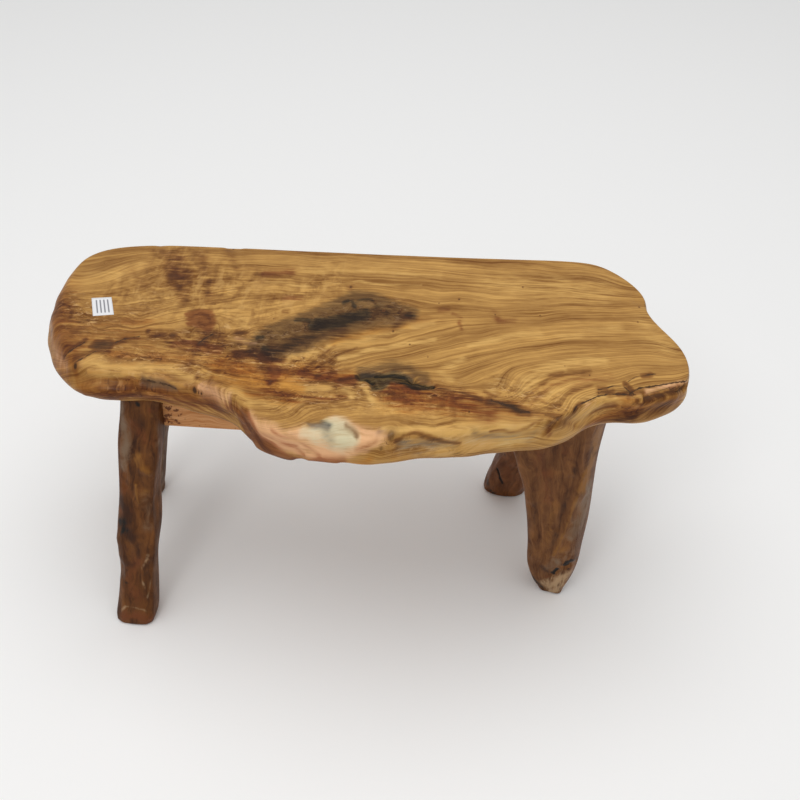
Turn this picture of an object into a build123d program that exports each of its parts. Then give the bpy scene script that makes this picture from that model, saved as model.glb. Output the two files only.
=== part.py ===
from build123d import *
import math
import os

# A low bench with a natural-edged plank for a seat. Four root legs splay under it. Each leg has a round
# tenon that stands in a blind bore of the plank. Four rails lie straight under the plank, with their ends
# housed in the heads of the legs, and wood screws pull them up against the plank.
# Lengths are in millimetres. X runs along the bench, Y to its back and Z up, and the floor is at Z = 0.

# The seat plank
seat_length = 931
seat_depth = 446
seat_height = 457
slab_thickness = 58

# The legs, each at its widest along the bench and from front to back
front_left_width = 60
front_left_depth = 56
rear_left_width = 64
rear_left_depth = 60
front_right_width = 155
front_right_depth = 80
rear_right_width = 77
rear_right_depth = 64

# The round tenons on the legs and their bores in the plank
tenon_radius = 15
tenon_length = 36
tenon_clearance = 0.2
bore_end_gap = 2

# How far the sole's edge is eased
sole_ease = 3

# The rails under the plank, and the housings for their ends
long_rail_height = 76
cross_rail_height = 45
rail_thickness = 26
rail_arris = 4
housing_depth = 8
rail_clearance = 0.2

# The screws through the rails into the plank
screw_radius = 2.5
screw_head_radius = 5
screw_head_height = 3.2
screw_length = 60
screw_tip = 6
screw_tip_radius = 0.8
screw_bite = 28
screw_clearance = 0.25
pilot_clearance = 0.1

leg_height = seat_height - slab_thickness
standing = (Align.CENTER, Align.CENTER, Align.MIN)

# The plank's outline at its widest, anticlockwise from the tip at the right front. Each row has the place
# along the length and the depth, how far the top edge is rolled in, and how far the underside is tucked in.
slab_outline_shares = (
    (0.499, -0.092, 0.08, 0.52),
    (0.498, -0.010, 0.10, 0.46),
    (0.484, 0.068, 0.10, 0.42),
    (0.463, 0.150, 0.10, 0.40),
    (0.453, 0.210, 0.10, 0.38),
    (0.451, 0.280, 0.10, 0.40),
    (0.434, 0.370, 0.11, 0.40),
    (0.409, 0.436, 0.12, 0.40),
    (0.378, 0.483, 0.12, 0.40),
    (0.340, 0.499, 0.12, 0.40),
    (0.250, 0.497, 0.12, 0.40),
    (0.080, 0.486, 0.12, 0.40),
    (-0.120, 0.480, 0.12, 0.40),
    (-0.300, 0.475, 0.12, 0.40),
    (-0.394, 0.460, 0.13, 0.42),
    (-0.449, 0.424, 0.16, 0.45),
    (-0.482, 0.363, 0.24, 0.45),
    (-0.497, 0.261, 0.36, 0.45),
    (-0.500, 0.148, 0.46, 0.48),
    (-0.493, 0.035, 0.52, 0.52),
    (-0.478, -0.065, 0.56, 0.55),
    (-0.457, -0.152, 0.60, 0.58),
    (-0.430, -0.226, 0.62, 0.58),
    (-0.396, -0.272, 0.62, 0.56),
    (-0.350, -0.286, 0.60, 0.54),
    (-0.295, -0.285, 0.54, 0.50),
    (-0.245, -0.295, 0.46, 0.44),
    (-0.200, -0.322, 0.36, 0.35),
    (-0.168, -0.354, 0.28, 0.35),
    (-0.145, -0.395, 0.22, 0.38),
    (-0.121, -0.440, 0.20, 0.45),
    (-0.086, -0.474, 0.25, 0.52),
    (-0.042, -0.494, 0.42, 0.58),
    (0.003, -0.500, 0.52, 0.60),
    (0.045, -0.494, 0.48, 0.60),
    (0.084, -0.480, 0.32, 0.58),
    (0.125, -0.462, 0.20, 0.55),
    (0.170, -0.440, 0.14, 0.52),
    (0.206, -0.422, 0.12, 0.50),
    (0.241, -0.412, 0.12, 0.46),
    (0.276, -0.392, 0.10, 0.42),
    (0.306, -0.358, 0.10, 0.36),
    (0.329, -0.320, 0.10, 0.32),
    (0.352, -0.282, 0.09, 0.38),
    (0.382, -0.258, 0.08, 0.52),
    (0.415, -0.252, 0.07, 0.80),
    (0.444, -0.232, 0.07, 0.98),
    (0.468, -0.206, 0.07, 0.88),
    (0.489, -0.163, 0.07, 0.66),
)

# The plank's rings from the underside to the top: height, share of the roll, share of the tuck. They follow a
# quarter of an ellipse down from the widest line and another up from it.
slab_ring_shares = (
    (0.00, 0.00, 1.00),
    (0.06, 0.00, 0.58),
    (0.20, 0.00, 0.26),
    (0.42, 0.00, 0.08),
    (0.66, 0.11, 0.00),
    (0.86, 0.34, 0.00),
    (0.96, 0.64, 0.00),
    (1.00, 1.00, 0.00),
)

# Sections of the legs seen from above, anticlockwise, as shares of the width and the depth. The straight
# stretches are the flats that the drawknife leaves.
square_section_shares = (
    (-0.50, -0.18),
    (-0.46, -0.34),
    (-0.32, -0.46),
    (-0.06, -0.50),
    (0.34, -0.48),
    (0.46, -0.38),
    (0.50, -0.10),
    (0.47, 0.34),
    (0.34, 0.46),
    (0.06, 0.50),
    (-0.34, 0.44),
    (-0.48, 0.24),
)
wedge_section_shares = (
    (-0.50, -0.16),
    (-0.47, -0.34),
    (-0.36, -0.42),
    (-0.06, -0.46),
    (0.26, -0.50),
    (0.35, -0.45),
    (0.49, -0.14),
    (0.48, 0.20),
    (0.34, 0.40),
    (0.06, 0.50),
    (-0.34, 0.44),
    (-0.48, 0.18),
)
rounded_section_shares = (
    (-0.50, -0.10),
    (-0.45, -0.32),
    (-0.26, -0.46),
    (-0.02, -0.50),
    (0.28, -0.44),
    (0.44, -0.28),
    (0.50, -0.02),
    (0.44, 0.28),
    (0.26, 0.44),
    (-0.04, 0.50),
    (-0.32, 0.40),
    (-0.47, 0.18),
)

# Levels of each leg from the sole to the head: height, how far the middle has moved from the head's place to
# the foot's place along X and Y, width, depth, and a turn in degrees
front_left_level_shares = (
    (0.00, 1.00, 1.00, 0.99, 0.99, 0),
    (0.14, 0.83, 0.86, 0.90, 0.98, 2),
    (0.28, 0.74, 0.72, 0.96, 0.98, 4),
    (0.42, 0.63, 0.58, 1.03, 1.00, 2),
    (0.58, 0.48, 0.42, 1.03, 1.00, 0),
    (0.78, 0.27, 0.22, 1.04, 0.99, -2),
    (1.00, 0.00, 0.00, 0.98, 0.98, 0),
)
rear_left_level_shares = (
    (0.00, 1.00, 1.00, 0.98, 0.98, 0),
    (0.16, 0.87, 0.86, 0.99, 0.98, 6),
    (0.33, 0.74, 0.70, 0.97, 0.96, 8),
    (0.50, 0.57, 0.52, 0.99, 0.98, 4),
    (0.67, 0.38, 0.34, 1.00, 0.98, 0),
    (0.83, 0.19, 0.17, 1.00, 1.00, -2),
    (1.00, 0.00, 0.00, 0.98, 0.98, 0),
)
front_right_level_shares = (
    (0.00, 1.14, 1.00, 0.26, 0.72, 0),
    (0.05, 1.02, 0.95, 0.38, 0.80, 0),
    (0.15, 0.93, 0.87, 0.51, 0.88, 0),
    (0.30, 0.91, 0.74, 0.56, 0.92, 0),
    (0.45, 0.89, 0.60, 0.60, 0.96, 0),
    (0.60, 0.75, 0.42, 0.67, 1.00, 0),
    (0.80, 0.34, 0.20, 0.82, 1.00, 0),
    (1.00, 0.00, 0.00, 1.00, 1.00, 0),
)
rear_right_level_shares = (
    (0.00, 1.00, 1.00, 0.98, 0.96, -6),
    (0.16, 0.85, 0.85, 1.00, 1.00, -4),
    (0.33, 0.62, 0.66, 0.98, 1.00, 0),
    (0.50, 0.48, 0.48, 0.97, 0.99, 2),
    (0.75, 0.23, 0.24, 0.97, 0.98, 4),
    (1.00, 0.00, 0.00, 0.98, 0.98, 0),
)

# Where the middle of each leg's head and foot stands, as shares of the seat's length and depth
front_left_head_shares = (-0.320, -0.143)
front_left_foot_shares = (-0.366, -0.354)
rear_left_head_shares = (-0.325, 0.172)
rear_left_foot_shares = (-0.427, 0.264)
front_right_head_shares = (0.306, -0.120)
front_right_foot_shares = (0.336, -0.078)
rear_right_head_shares = (0.325, 0.182)
rear_right_foot_shares = (0.256, 0.408)

# Where the rails run, and where their screws stand along them
front_rail_place_share = -0.132
rear_rail_place_share = 0.177
left_cross_rail_place_share = -0.323
right_cross_rail_place_share = 0.318
long_rail_screw_shares = (0.22, 0.78)
cross_rail_screw_shares = (0.50,)


class Leg:
    """A root leg: its size, its section, where its head and foot stand, and how it leans and swells."""

    def __init__(self, width, depth, section_shares, level_shares, head_shares, foot_shares):
        self.width = width
        self.depth = depth
        self.section_shares = section_shares
        self.level_shares = level_shares
        self.head = Vector(head_shares[0] * seat_length, head_shares[1] * seat_depth)
        self.foot = Vector(foot_shares[0] * seat_length, foot_shares[1] * seat_depth)

    def level(self, height_share):
        """The middle, width and depth at a height, straight between the two levels beside it."""
        rows = self.level_shares
        above = next(i for i in range(1, len(rows)) if rows[i][0] >= height_share)
        low, high = rows[above - 1], rows[above]
        part = (height_share - low[0]) / (high[0] - low[0])
        _, lean_x, lean_y, wide, deep, _ = [a + (b - a) * part for a, b in zip(low, high)]
        x = self.head.X + (self.foot.X - self.head.X) * lean_x
        y = self.head.Y + (self.foot.Y - self.head.Y) * lean_y
        return x, y, self.width * wide, self.depth * deep

    def sides(self, height):
        """The leg's reach at a height: left, right, front and back."""
        x, y, width, depth = self.level(height / leg_height)
        return x - width / 2, x + width / 2, y - depth / 2, y + depth / 2


legs = {
    "front_left_leg": Leg(
        front_left_width,
        front_left_depth,
        square_section_shares,
        front_left_level_shares,
        front_left_head_shares,
        front_left_foot_shares,
    ),
    "rear_left_leg": Leg(
        rear_left_width,
        rear_left_depth,
        rounded_section_shares,
        rear_left_level_shares,
        rear_left_head_shares,
        rear_left_foot_shares,
    ),
    "front_right_leg": Leg(
        front_right_width,
        front_right_depth,
        wedge_section_shares,
        front_right_level_shares,
        front_right_head_shares,
        front_right_foot_shares,
    ),
    "rear_right_leg": Leg(
        rear_right_width,
        rear_right_depth,
        rounded_section_shares,
        rear_right_level_shares,
        rear_right_head_shares,
        rear_right_foot_shares,
    ),
}


class Rail:
    """A rail straight under the plank, with each end housed in a leg. Its screws point up into the plank."""

    def __init__(self, axis, place, height, low_leg, high_leg, screw_shares):
        self.axis = axis
        self.place = place
        self.height = height
        self.bottom = leg_height - height
        heights = (self.bottom, leg_height)
        low_side, high_side = (1, 0) if axis == Axis.X else (3, 2)
        self.start = min(low_leg.sides(z)[low_side] for z in heights) - housing_depth
        self.end = max(high_leg.sides(z)[high_side] for z in heights) + housing_depth
        self.screw_shares = screw_shares
        self.recess = height + screw_bite - screw_length

    def at(self, along, z):
        """A place on the rail's middle line."""
        return Pos(along, self.place, z) if self.axis == Axis.X else Pos(self.place, along, z)

    def block(self, clearance):
        """The rail's plain block, or with a clearance the space that its ends need in the legs."""
        length = self.end - self.start + 2 * clearance
        thickness = rail_thickness + 2 * clearance
        size = (length, thickness) if self.axis == Axis.X else (thickness, length)
        box = Box(*size, self.height + clearance, align=standing)
        return self.at((self.start + self.end) / 2, self.bottom - clearance) * box

    def screw_seats(self):
        """Where the head of each screw seats."""
        span = self.end - self.start
        return [self.at(self.start + span * share, self.bottom + self.recess) for share in self.screw_shares]


rails = {
    "front_rail": Rail(
        Axis.X,
        front_rail_place_share * seat_depth,
        long_rail_height,
        legs["front_left_leg"],
        legs["front_right_leg"],
        long_rail_screw_shares,
    ),
    "rear_rail": Rail(
        Axis.X,
        rear_rail_place_share * seat_depth,
        long_rail_height,
        legs["rear_left_leg"],
        legs["rear_right_leg"],
        long_rail_screw_shares,
    ),
    "left_cross_rail": Rail(
        Axis.Y,
        left_cross_rail_place_share * seat_length,
        cross_rail_height,
        legs["front_left_leg"],
        legs["rear_left_leg"],
        cross_rail_screw_shares,
    ),
    "right_cross_rail": Rail(
        Axis.Y,
        right_cross_rail_place_share * seat_length,
        cross_rail_height,
        legs["front_right_leg"],
        legs["rear_right_leg"],
        cross_rail_screw_shares,
    ),
}


def chord_parameters(points):
    """Distances along the closed polygon, which keep a spline's spacing alike on all rings of a loft."""
    total = 0.0
    parameters = [total]
    for i, point in enumerate(points):
        total += math.dist(point, points[(i + 1) % len(points)])
        parameters.append(total)
    return parameters


def outward_directions(points):
    """At each point of an anticlockwise outline, the direction square to the line between its neighbours."""
    directions = []
    for i in range(len(points)):
        before = points[i - 1]
        after = points[(i + 1) % len(points)]
        along_x, along_y = after[0] - before[0], after[1] - before[1]
        length = math.hypot(along_x, along_y)
        directions.append((along_y / length, -along_x / length))
    return directions


def make_slab():
    """The seat plank: smooth rings from the underside to the top, then its bores and pilot holes."""
    outline = [(x * seat_length, y * seat_depth) for x, y, _, _ in slab_outline_shares]
    outward = outward_directions(outline)
    parameters = chord_parameters(outline)
    rings = []
    for height_share, roll_part, tuck_part in slab_ring_shares:
        z = leg_height + height_share * slab_thickness
        points = []
        for (x, y), (out_x, out_y), (_, _, roll, tuck) in zip(outline, outward, slab_outline_shares):
            inset = slab_thickness * (roll * roll_part + tuck * tuck_part)
            points.append((x - out_x * inset, y - out_y * inset, z))
        rings.append(Wire([Edge.make_spline(points, periodic=True, parameters=parameters)]))
    slab = Solid.make_loft(rings, ruled=True)

    bore = Cylinder(tenon_radius + tenon_clearance, tenon_length + bore_end_gap, align=standing)
    for leg in legs.values():
        slab -= Pos(leg.head.X, leg.head.Y, leg_height) * bore
    pilot = Cylinder(screw_radius + pilot_clearance, screw_length + pilot_clearance, align=standing)
    for rail in rails.values():
        for seat in rail.screw_seats():
            slab -= seat * pilot
    return slab


def make_leg(leg):
    """A leg lofted through its levels, with the housings for the rails and the tenon on its head."""
    rings = []
    for height_share, _, _, _, _, turn in leg.level_shares:
        middle_x, middle_y, width, depth = leg.level(height_share)
        cos_turn, sin_turn = math.cos(math.radians(turn)), math.sin(math.radians(turn))
        points = []
        for x_share, y_share in leg.section_shares:
            x, y = x_share * width, y_share * depth
            turned_x = middle_x + x * cos_turn - y * sin_turn
            turned_y = middle_y + x * sin_turn + y * cos_turn
            points.append((turned_x, turned_y, height_share * leg_height))
        rings.append(Wire.make_polygon(points, close=True))
    body = Solid.make_loft(rings, ruled=True)
    body = chamfer(body.edges().group_by(Axis.Z)[0], sole_ease)
    for rail in rails.values():
        body -= rail.block(rail_clearance)
    tenon = Cylinder(tenon_radius, tenon_length, align=standing)
    return body + Pos(leg.head.X, leg.head.Y, leg_height) * tenon


def make_rail(rail):
    """A rail with eased lower edges and a stepped hole for each screw."""
    body = rail.block(0)
    body = fillet(body.edges().filter_by(rail.axis).group_by(Axis.Z)[0], rail_arris)
    recess = Cylinder(screw_head_radius + screw_clearance, rail.height, align=(Align.CENTER, Align.CENTER, Align.MAX))
    shank_hole = Cylinder(screw_radius + screw_clearance, rail.height, align=standing)
    for seat in rail.screw_seats():
        body -= seat * recess
        body -= seat * shank_hole
    return body


def make_screw():
    """A wood screw that points up, with its head's seat at Z = 0: half its section, turned about its axis."""
    half_outline = Polyline(
        (0, -screw_head_height),
        (screw_head_radius, -screw_head_height),
        (screw_head_radius, 0),
        (screw_radius, 0),
        (screw_radius, screw_length - screw_tip),
        (screw_tip_radius, screw_length),
        (0, screw_length),
        close=True,
    )
    return revolve(Plane.XZ * make_face(half_outline), Axis.Z)


def make_screws():
    """All the screws, each as its own solid."""
    screw = make_screw()
    return Compound([seat * screw for rail in rails.values() for seat in rail.screw_seats()])


parts = {"seat_slab": make_slab()}
for name, leg in legs.items():
    parts[name] = make_leg(leg)
for name, rail in rails.items():
    parts[name] = make_rail(rail)
parts["slab_screws"] = make_screws()

# The middle of the bench's box goes to X = 0 and Y = 0
middle = Compound(list(parts.values())).bounding_box().center()
to_middle = Pos(-middle.X, -middle.Y, 0)

os.makedirs("parts", exist_ok=True)
for name, part in parts.items():
    export_step(to_middle * part, f"parts/{name}.step")
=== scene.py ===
import math

import bpy
import numpy as np
from mathutils import Matrix, Vector


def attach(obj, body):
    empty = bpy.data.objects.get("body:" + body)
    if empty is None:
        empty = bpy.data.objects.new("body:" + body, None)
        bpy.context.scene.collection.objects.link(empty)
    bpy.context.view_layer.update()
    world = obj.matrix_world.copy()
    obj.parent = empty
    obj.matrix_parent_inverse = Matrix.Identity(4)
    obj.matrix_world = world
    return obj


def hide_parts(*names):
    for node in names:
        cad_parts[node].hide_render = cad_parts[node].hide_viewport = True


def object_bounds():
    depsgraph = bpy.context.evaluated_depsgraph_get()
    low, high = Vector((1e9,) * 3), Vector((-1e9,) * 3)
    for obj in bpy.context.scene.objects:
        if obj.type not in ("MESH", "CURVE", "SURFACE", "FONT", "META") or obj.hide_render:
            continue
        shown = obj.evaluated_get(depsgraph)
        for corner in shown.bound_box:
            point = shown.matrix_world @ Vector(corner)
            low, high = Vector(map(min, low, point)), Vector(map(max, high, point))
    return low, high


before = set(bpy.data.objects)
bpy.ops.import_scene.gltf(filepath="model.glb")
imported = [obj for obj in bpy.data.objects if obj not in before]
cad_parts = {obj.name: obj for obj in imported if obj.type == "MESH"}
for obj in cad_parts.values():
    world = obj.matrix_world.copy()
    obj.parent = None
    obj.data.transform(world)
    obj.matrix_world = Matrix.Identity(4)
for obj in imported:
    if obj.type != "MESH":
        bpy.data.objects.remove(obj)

# The bench as the CAD model gives it, in metres: X runs along the seat, Y to its back and Z up from the floor.
# Its box is kept, and the new skins of the seat and the legs are held inside it.
solid_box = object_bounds()
box_low, box_high = np.array(solid_box, dtype=float).reshape(2, 3)

# The camera: it stands in front of the bench and a little to its right, about chest high, and looks down on the
# seat with the lens nearly level.
camera_place = (0.1605, -1.2459, 1.387)
look_down = math.radians(40)
look_left = math.radians(-4.5)
camera_roll = math.radians(0.5)
forward = np.array([math.sin(look_left) * math.cos(look_down), math.cos(look_left) * math.cos(look_down),
    -math.sin(look_down)])
level_right = np.array([math.cos(look_left), -math.sin(look_left), 0])
level_up = np.cross(level_right, forward)
picture_right = level_right * math.cos(camera_roll) + level_up * math.sin(camera_roll)
picture_up = level_up * math.cos(camera_roll) - level_right * math.sin(camera_roll)
camera = bpy.data.objects.new("studio_camera", bpy.data.cameras.new("studio_camera"))
camera.data.lens = 49.5
camera.data.sensor_width = 36
camera.data.clip_end = 50
turn = Matrix(np.stack([picture_right, picture_up, -forward], axis=1).tolist())
camera.matrix_world = Matrix.Translation(camera_place) @ turn.to_4x4()
bpy.context.scene.collection.objects.link(camera)
bpy.context.scene.camera = camera


# The seat: one plank of a figured hardwood with its natural edge, 929 by 443 mm and 58 mm thick. Its top is sanded
# flat and oiled, the left front rolls over in a soft lip, and the front swells in a belly. The legs' tenons and the
# rails' screws hold it from below.
seat_length = 0.931
seat_depth = 0.446
seat_height = 0.457
slab_thickness = 0.058

# The outline at its widest, anticlockwise from the tip at the right front: place along and across, how far the
# top edge is rolled in and how far the underside is tucked in, as shares of the sizes above.
slab_outline_shares = np.array((
    (0.499, -0.092, 0.08, 0.52),
    (0.498, -0.010, 0.10, 0.46),
    (0.484, 0.068, 0.10, 0.42),
    (0.463, 0.150, 0.10, 0.40),
    (0.453, 0.210, 0.10, 0.38),
    (0.451, 0.280, 0.10, 0.40),
    (0.434, 0.370, 0.11, 0.40),
    (0.409, 0.436, 0.12, 0.40),
    (0.378, 0.483, 0.12, 0.40),
    (0.340, 0.499, 0.12, 0.40),
    (0.250, 0.497, 0.12, 0.40),
    (0.080, 0.486, 0.12, 0.40),
    (-0.120, 0.480, 0.12, 0.40),
    (-0.300, 0.475, 0.12, 0.40),
    (-0.394, 0.460, 0.13, 0.42),
    (-0.449, 0.424, 0.16, 0.45),
    (-0.482, 0.363, 0.24, 0.45),
    (-0.497, 0.261, 0.36, 0.45),
    (-0.500, 0.148, 0.46, 0.48),
    (-0.493, 0.035, 0.52, 0.52),
    (-0.478, -0.065, 0.56, 0.55),
    (-0.457, -0.152, 0.60, 0.58),
    (-0.430, -0.226, 0.62, 0.58),
    (-0.396, -0.272, 0.62, 0.56),
    (-0.350, -0.286, 0.60, 0.54),
    (-0.295, -0.285, 0.54, 0.50),
    (-0.245, -0.295, 0.46, 0.44),
    (-0.200, -0.322, 0.36, 0.35),
    (-0.168, -0.354, 0.28, 0.35),
    (-0.145, -0.395, 0.22, 0.38),
    (-0.121, -0.440, 0.20, 0.45),
    (-0.086, -0.474, 0.25, 0.52),
    (-0.042, -0.494, 0.42, 0.58),
    (0.003, -0.500, 0.52, 0.60),
    (0.045, -0.494, 0.48, 0.60),
    (0.084, -0.480, 0.32, 0.58),
    (0.125, -0.462, 0.20, 0.55),
    (0.170, -0.440, 0.14, 0.52),
    (0.206, -0.422, 0.12, 0.50),
    (0.241, -0.412, 0.12, 0.46),
    (0.276, -0.392, 0.10, 0.42),
    (0.306, -0.358, 0.10, 0.36),
    (0.329, -0.320, 0.10, 0.32),
    (0.352, -0.282, 0.09, 0.38),
    (0.382, -0.258, 0.08, 0.52),
    (0.415, -0.252, 0.07, 0.80),
    (0.444, -0.232, 0.07, 0.98),
    (0.468, -0.206, 0.07, 0.88),
    (0.489, -0.163, 0.07, 0.66),
))
widest_share = 0.42

# Squares along the top and across it, rings from the top edge to the widest line and from there to the underside
squares_along = 360
squares_across = 128
upper_rings = 31
lower_rings = 12
outline_corners = (0, 7, 15, 22, 49)


def loop_weights(stations, places):
    """Weights of the outline's points for places along it: a closed cubic curve in pieces. Its curvature at the
    points comes from one round of equations that make slope and curvature run on from piece to piece."""
    count = len(stations) - 1
    gap = np.diff(stations)
    before = np.roll(gap, 1)
    i = np.arange(count)
    smooth = np.zeros((count, count))
    smooth[i, i - 1] = before
    smooth[i, i] = 2 * (before + gap)
    smooth[i, (i + 1) % count] = gap
    bend = np.zeros((count, count))
    bend[i, i - 1] = 6 / before
    bend[i, i] = -6 / before - 6 / gap
    bend[i, (i + 1) % count] = 6 / gap
    curvature = np.linalg.solve(smooth, bend)
    cell = np.clip(np.searchsorted(stations, places, side="right") - 1, 0, count - 1)
    after = (cell + 1) % count
    rise = ((places - stations[cell]) / gap[cell])[:, None]
    fall = 1 - rise
    pull = (gap[cell] ** 2 / 6)[:, None] * ((fall**3 - fall) * curvature[cell] + (rise**3 - rise) * curvature[after])
    row = np.arange(len(places))
    pull[row, cell] += fall[:, 0]
    pull[row, after] += rise[:, 0]
    return pull


def sheet_inside(loop, along, across):
    """The sheet inside a closed loop of points: opposite sides blended in both directions, less the blend of
    the four corners."""
    right = loop[: across + 1]
    rear = loop[across : across + along + 1][::-1]
    left = loop[across + along : 2 * across + along + 1][::-1]
    front = np.concatenate([loop[2 * across + along :], loop[:1]])
    u = np.linspace(0, 1, along + 1)[None, :, None]
    v = np.linspace(0, 1, across + 1)[:, None, None]
    sheet = (1 - v) * front[None] + v * rear[None] + (1 - u) * left[:, None] + u * right[:, None]
    return sheet - (1 - v) * ((1 - u) * front[0] + u * front[-1]) - v * ((1 - u) * rear[0] + u * rear[-1])


def loop_indices(along, across):
    """The numbers of a sheet's border points, in the order of the loop: right, rear, left and front side."""
    grid = np.arange((along + 1) * (across + 1)).reshape(across + 1, along + 1)
    return np.concatenate([grid[:-1, -1], grid[-1, :0:-1], grid[:0:-1, 0], grid[0, :-1]])


outline = slab_outline_shares[:, :2] * (seat_length, seat_depth)
chord = np.linalg.norm(np.roll(outline, -1, 0) - outline, axis=1)
stations = np.concatenate([[0], np.cumsum(chord)])
along_outline = np.roll(outline, -1, 0) - np.roll(outline, 1, 0)
outward = np.stack([along_outline[:, 1], -along_outline[:, 0]], axis=1)
outward /= np.linalg.norm(outward, axis=1)[:, None]
side_counts = (squares_across, squares_along, squares_across, squares_along)
side_ends = zip(outline_corners, outline_corners[1:], side_counts)
places = np.concatenate([np.linspace(stations[a], stations[b], n, endpoint=False) for a, b, n in side_ends])
weights = loop_weights(stations, places)
skin_inset = 0.0012
widest = weights @ outline - skin_inset * (weights @ outward)
rolled = weights @ (outward * slab_outline_shares[:, 2:3])
tucked = weights @ (outward * slab_outline_shares[:, 3:4])

# The rim's rings: a quarter of an ellipse from the top edge out to the widest line, and another in to the underside
upper_turn = np.linspace(0, np.pi / 2, upper_rings)
lower_turn = np.linspace(0, np.pi / 2, lower_rings + 1)[1:]
ring_height = np.concatenate([widest_share + (1 - widest_share) * np.cos(upper_turn), widest_share * (1
    - np.sin(lower_turn))])
roll_part = np.concatenate([1 - np.sin(upper_turn), 0 * lower_turn])
tuck_part = np.concatenate([0 * upper_turn, 1 - np.cos(lower_turn)])
rings, columns = len(ring_height), len(places)
rim = np.zeros((rings, columns, 3))
rim[:, :, :2] = widest - slab_thickness * (roll_part[:, None, None] * rolled + tuck_part[:, None, None] * tucked)
rim[:, :, 2] = seat_height - slab_thickness * (1 - ring_height[:, None])

# The plank's skin laid out flat in millimetres: the top as it is, and the rim folded out square to the outline
outline_run = np.roll(widest, -1, 0) - np.roll(widest, 1, 0)
fold = np.stack([outline_run[:, 1], -outline_run[:, 0]], axis=1)
fold /= np.linalg.norm(fold, axis=1)[:, None]
ring_step = np.linalg.norm(np.diff(rim, axis=0), axis=2)
down_rim = np.concatenate([np.zeros((1, columns)), np.cumsum(ring_step, axis=0)])
rim_flat = rim[0, :, :2] + fold * down_rim[:, :, None]

# The top's sheet, then the rim below its first ring, then a coarser sheet underneath that every fourth point of
# the last ring joins
top_sheet = sheet_inside(rim[0], squares_along, squares_across)
top_flat = top_sheet[:, :, :2]
under_ratio = 4
under_pull = (0.97, 0.94, 1)
under_along, under_across = squares_along // under_ratio, squares_across // under_ratio
under_loop = rim[-1, ::under_ratio] * under_pull
under_sheet = sheet_inside(under_loop, under_along, under_across)
under_flat = sheet_inside(rim_flat[-1, ::under_ratio], under_along, under_across)
skin = np.concatenate([top_sheet.reshape(-1, 3), rim[1:].reshape(-1, 3), under_sheet.reshape(-1, 3)])
skin_flat = 1000 * np.concatenate([top_flat.reshape(-1, 2), rim_flat[1:].reshape(-1, 2), under_flat.reshape(-1, 2)])

top_count, under_first = (top_sheet.shape[0] * top_sheet.shape[1], top_sheet.shape[0] * top_sheet.shape[1] + (rings
    - 1) * columns)


def sheet_faces(along, across, first, upward):
    """Four-sided faces of a sheet, facing up or down."""
    grid = np.arange((along + 1) * (across + 1)).reshape(across + 1, along + 1) + first
    faces = np.stack([grid[:-1, :-1], grid[:-1, 1:], grid[1:, 1:], grid[1:, :-1]], axis=-1).reshape(-1, 4)
    return (faces if upward else faces[:, ::-1]).tolist()


top_loop = loop_indices(squares_along, squares_across)
ring_rows = np.concatenate([top_loop[None], top_count + np.arange((rings - 1) * columns).reshape(rings - 1, columns)])
beside = np.roll(ring_rows, -1, axis=1)
rim_faces = np.stack([ring_rows[:-1], ring_rows[1:], beside[1:], beside[:-1]], axis=-1).reshape(-1, 4).tolist()
last_ring = ring_rows[-1]
under_ring = under_first + loop_indices(under_along, under_across)
fine = last_ring.reshape(-1, under_ratio).T
next_fine, next_under = np.roll(fine[0], -1), np.roll(under_ring, -1)
stitches = (
    (fine[0], under_ring, fine[1]),
    (fine[1], under_ring, fine[2]),
    (fine[2], under_ring, next_under),
    (fine[2], next_under, fine[3]),
    (fine[3], next_under, next_fine),
)
stitch_faces = np.concatenate([np.stack(stitch, axis=-1) for stitch in stitches]).tolist()
seat_faces = sheet_faces(squares_along, squares_across, 0, True) + rim_faces + stitch_faces
seat_faces += sheet_faces(under_along, under_across, under_first, False)
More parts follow.
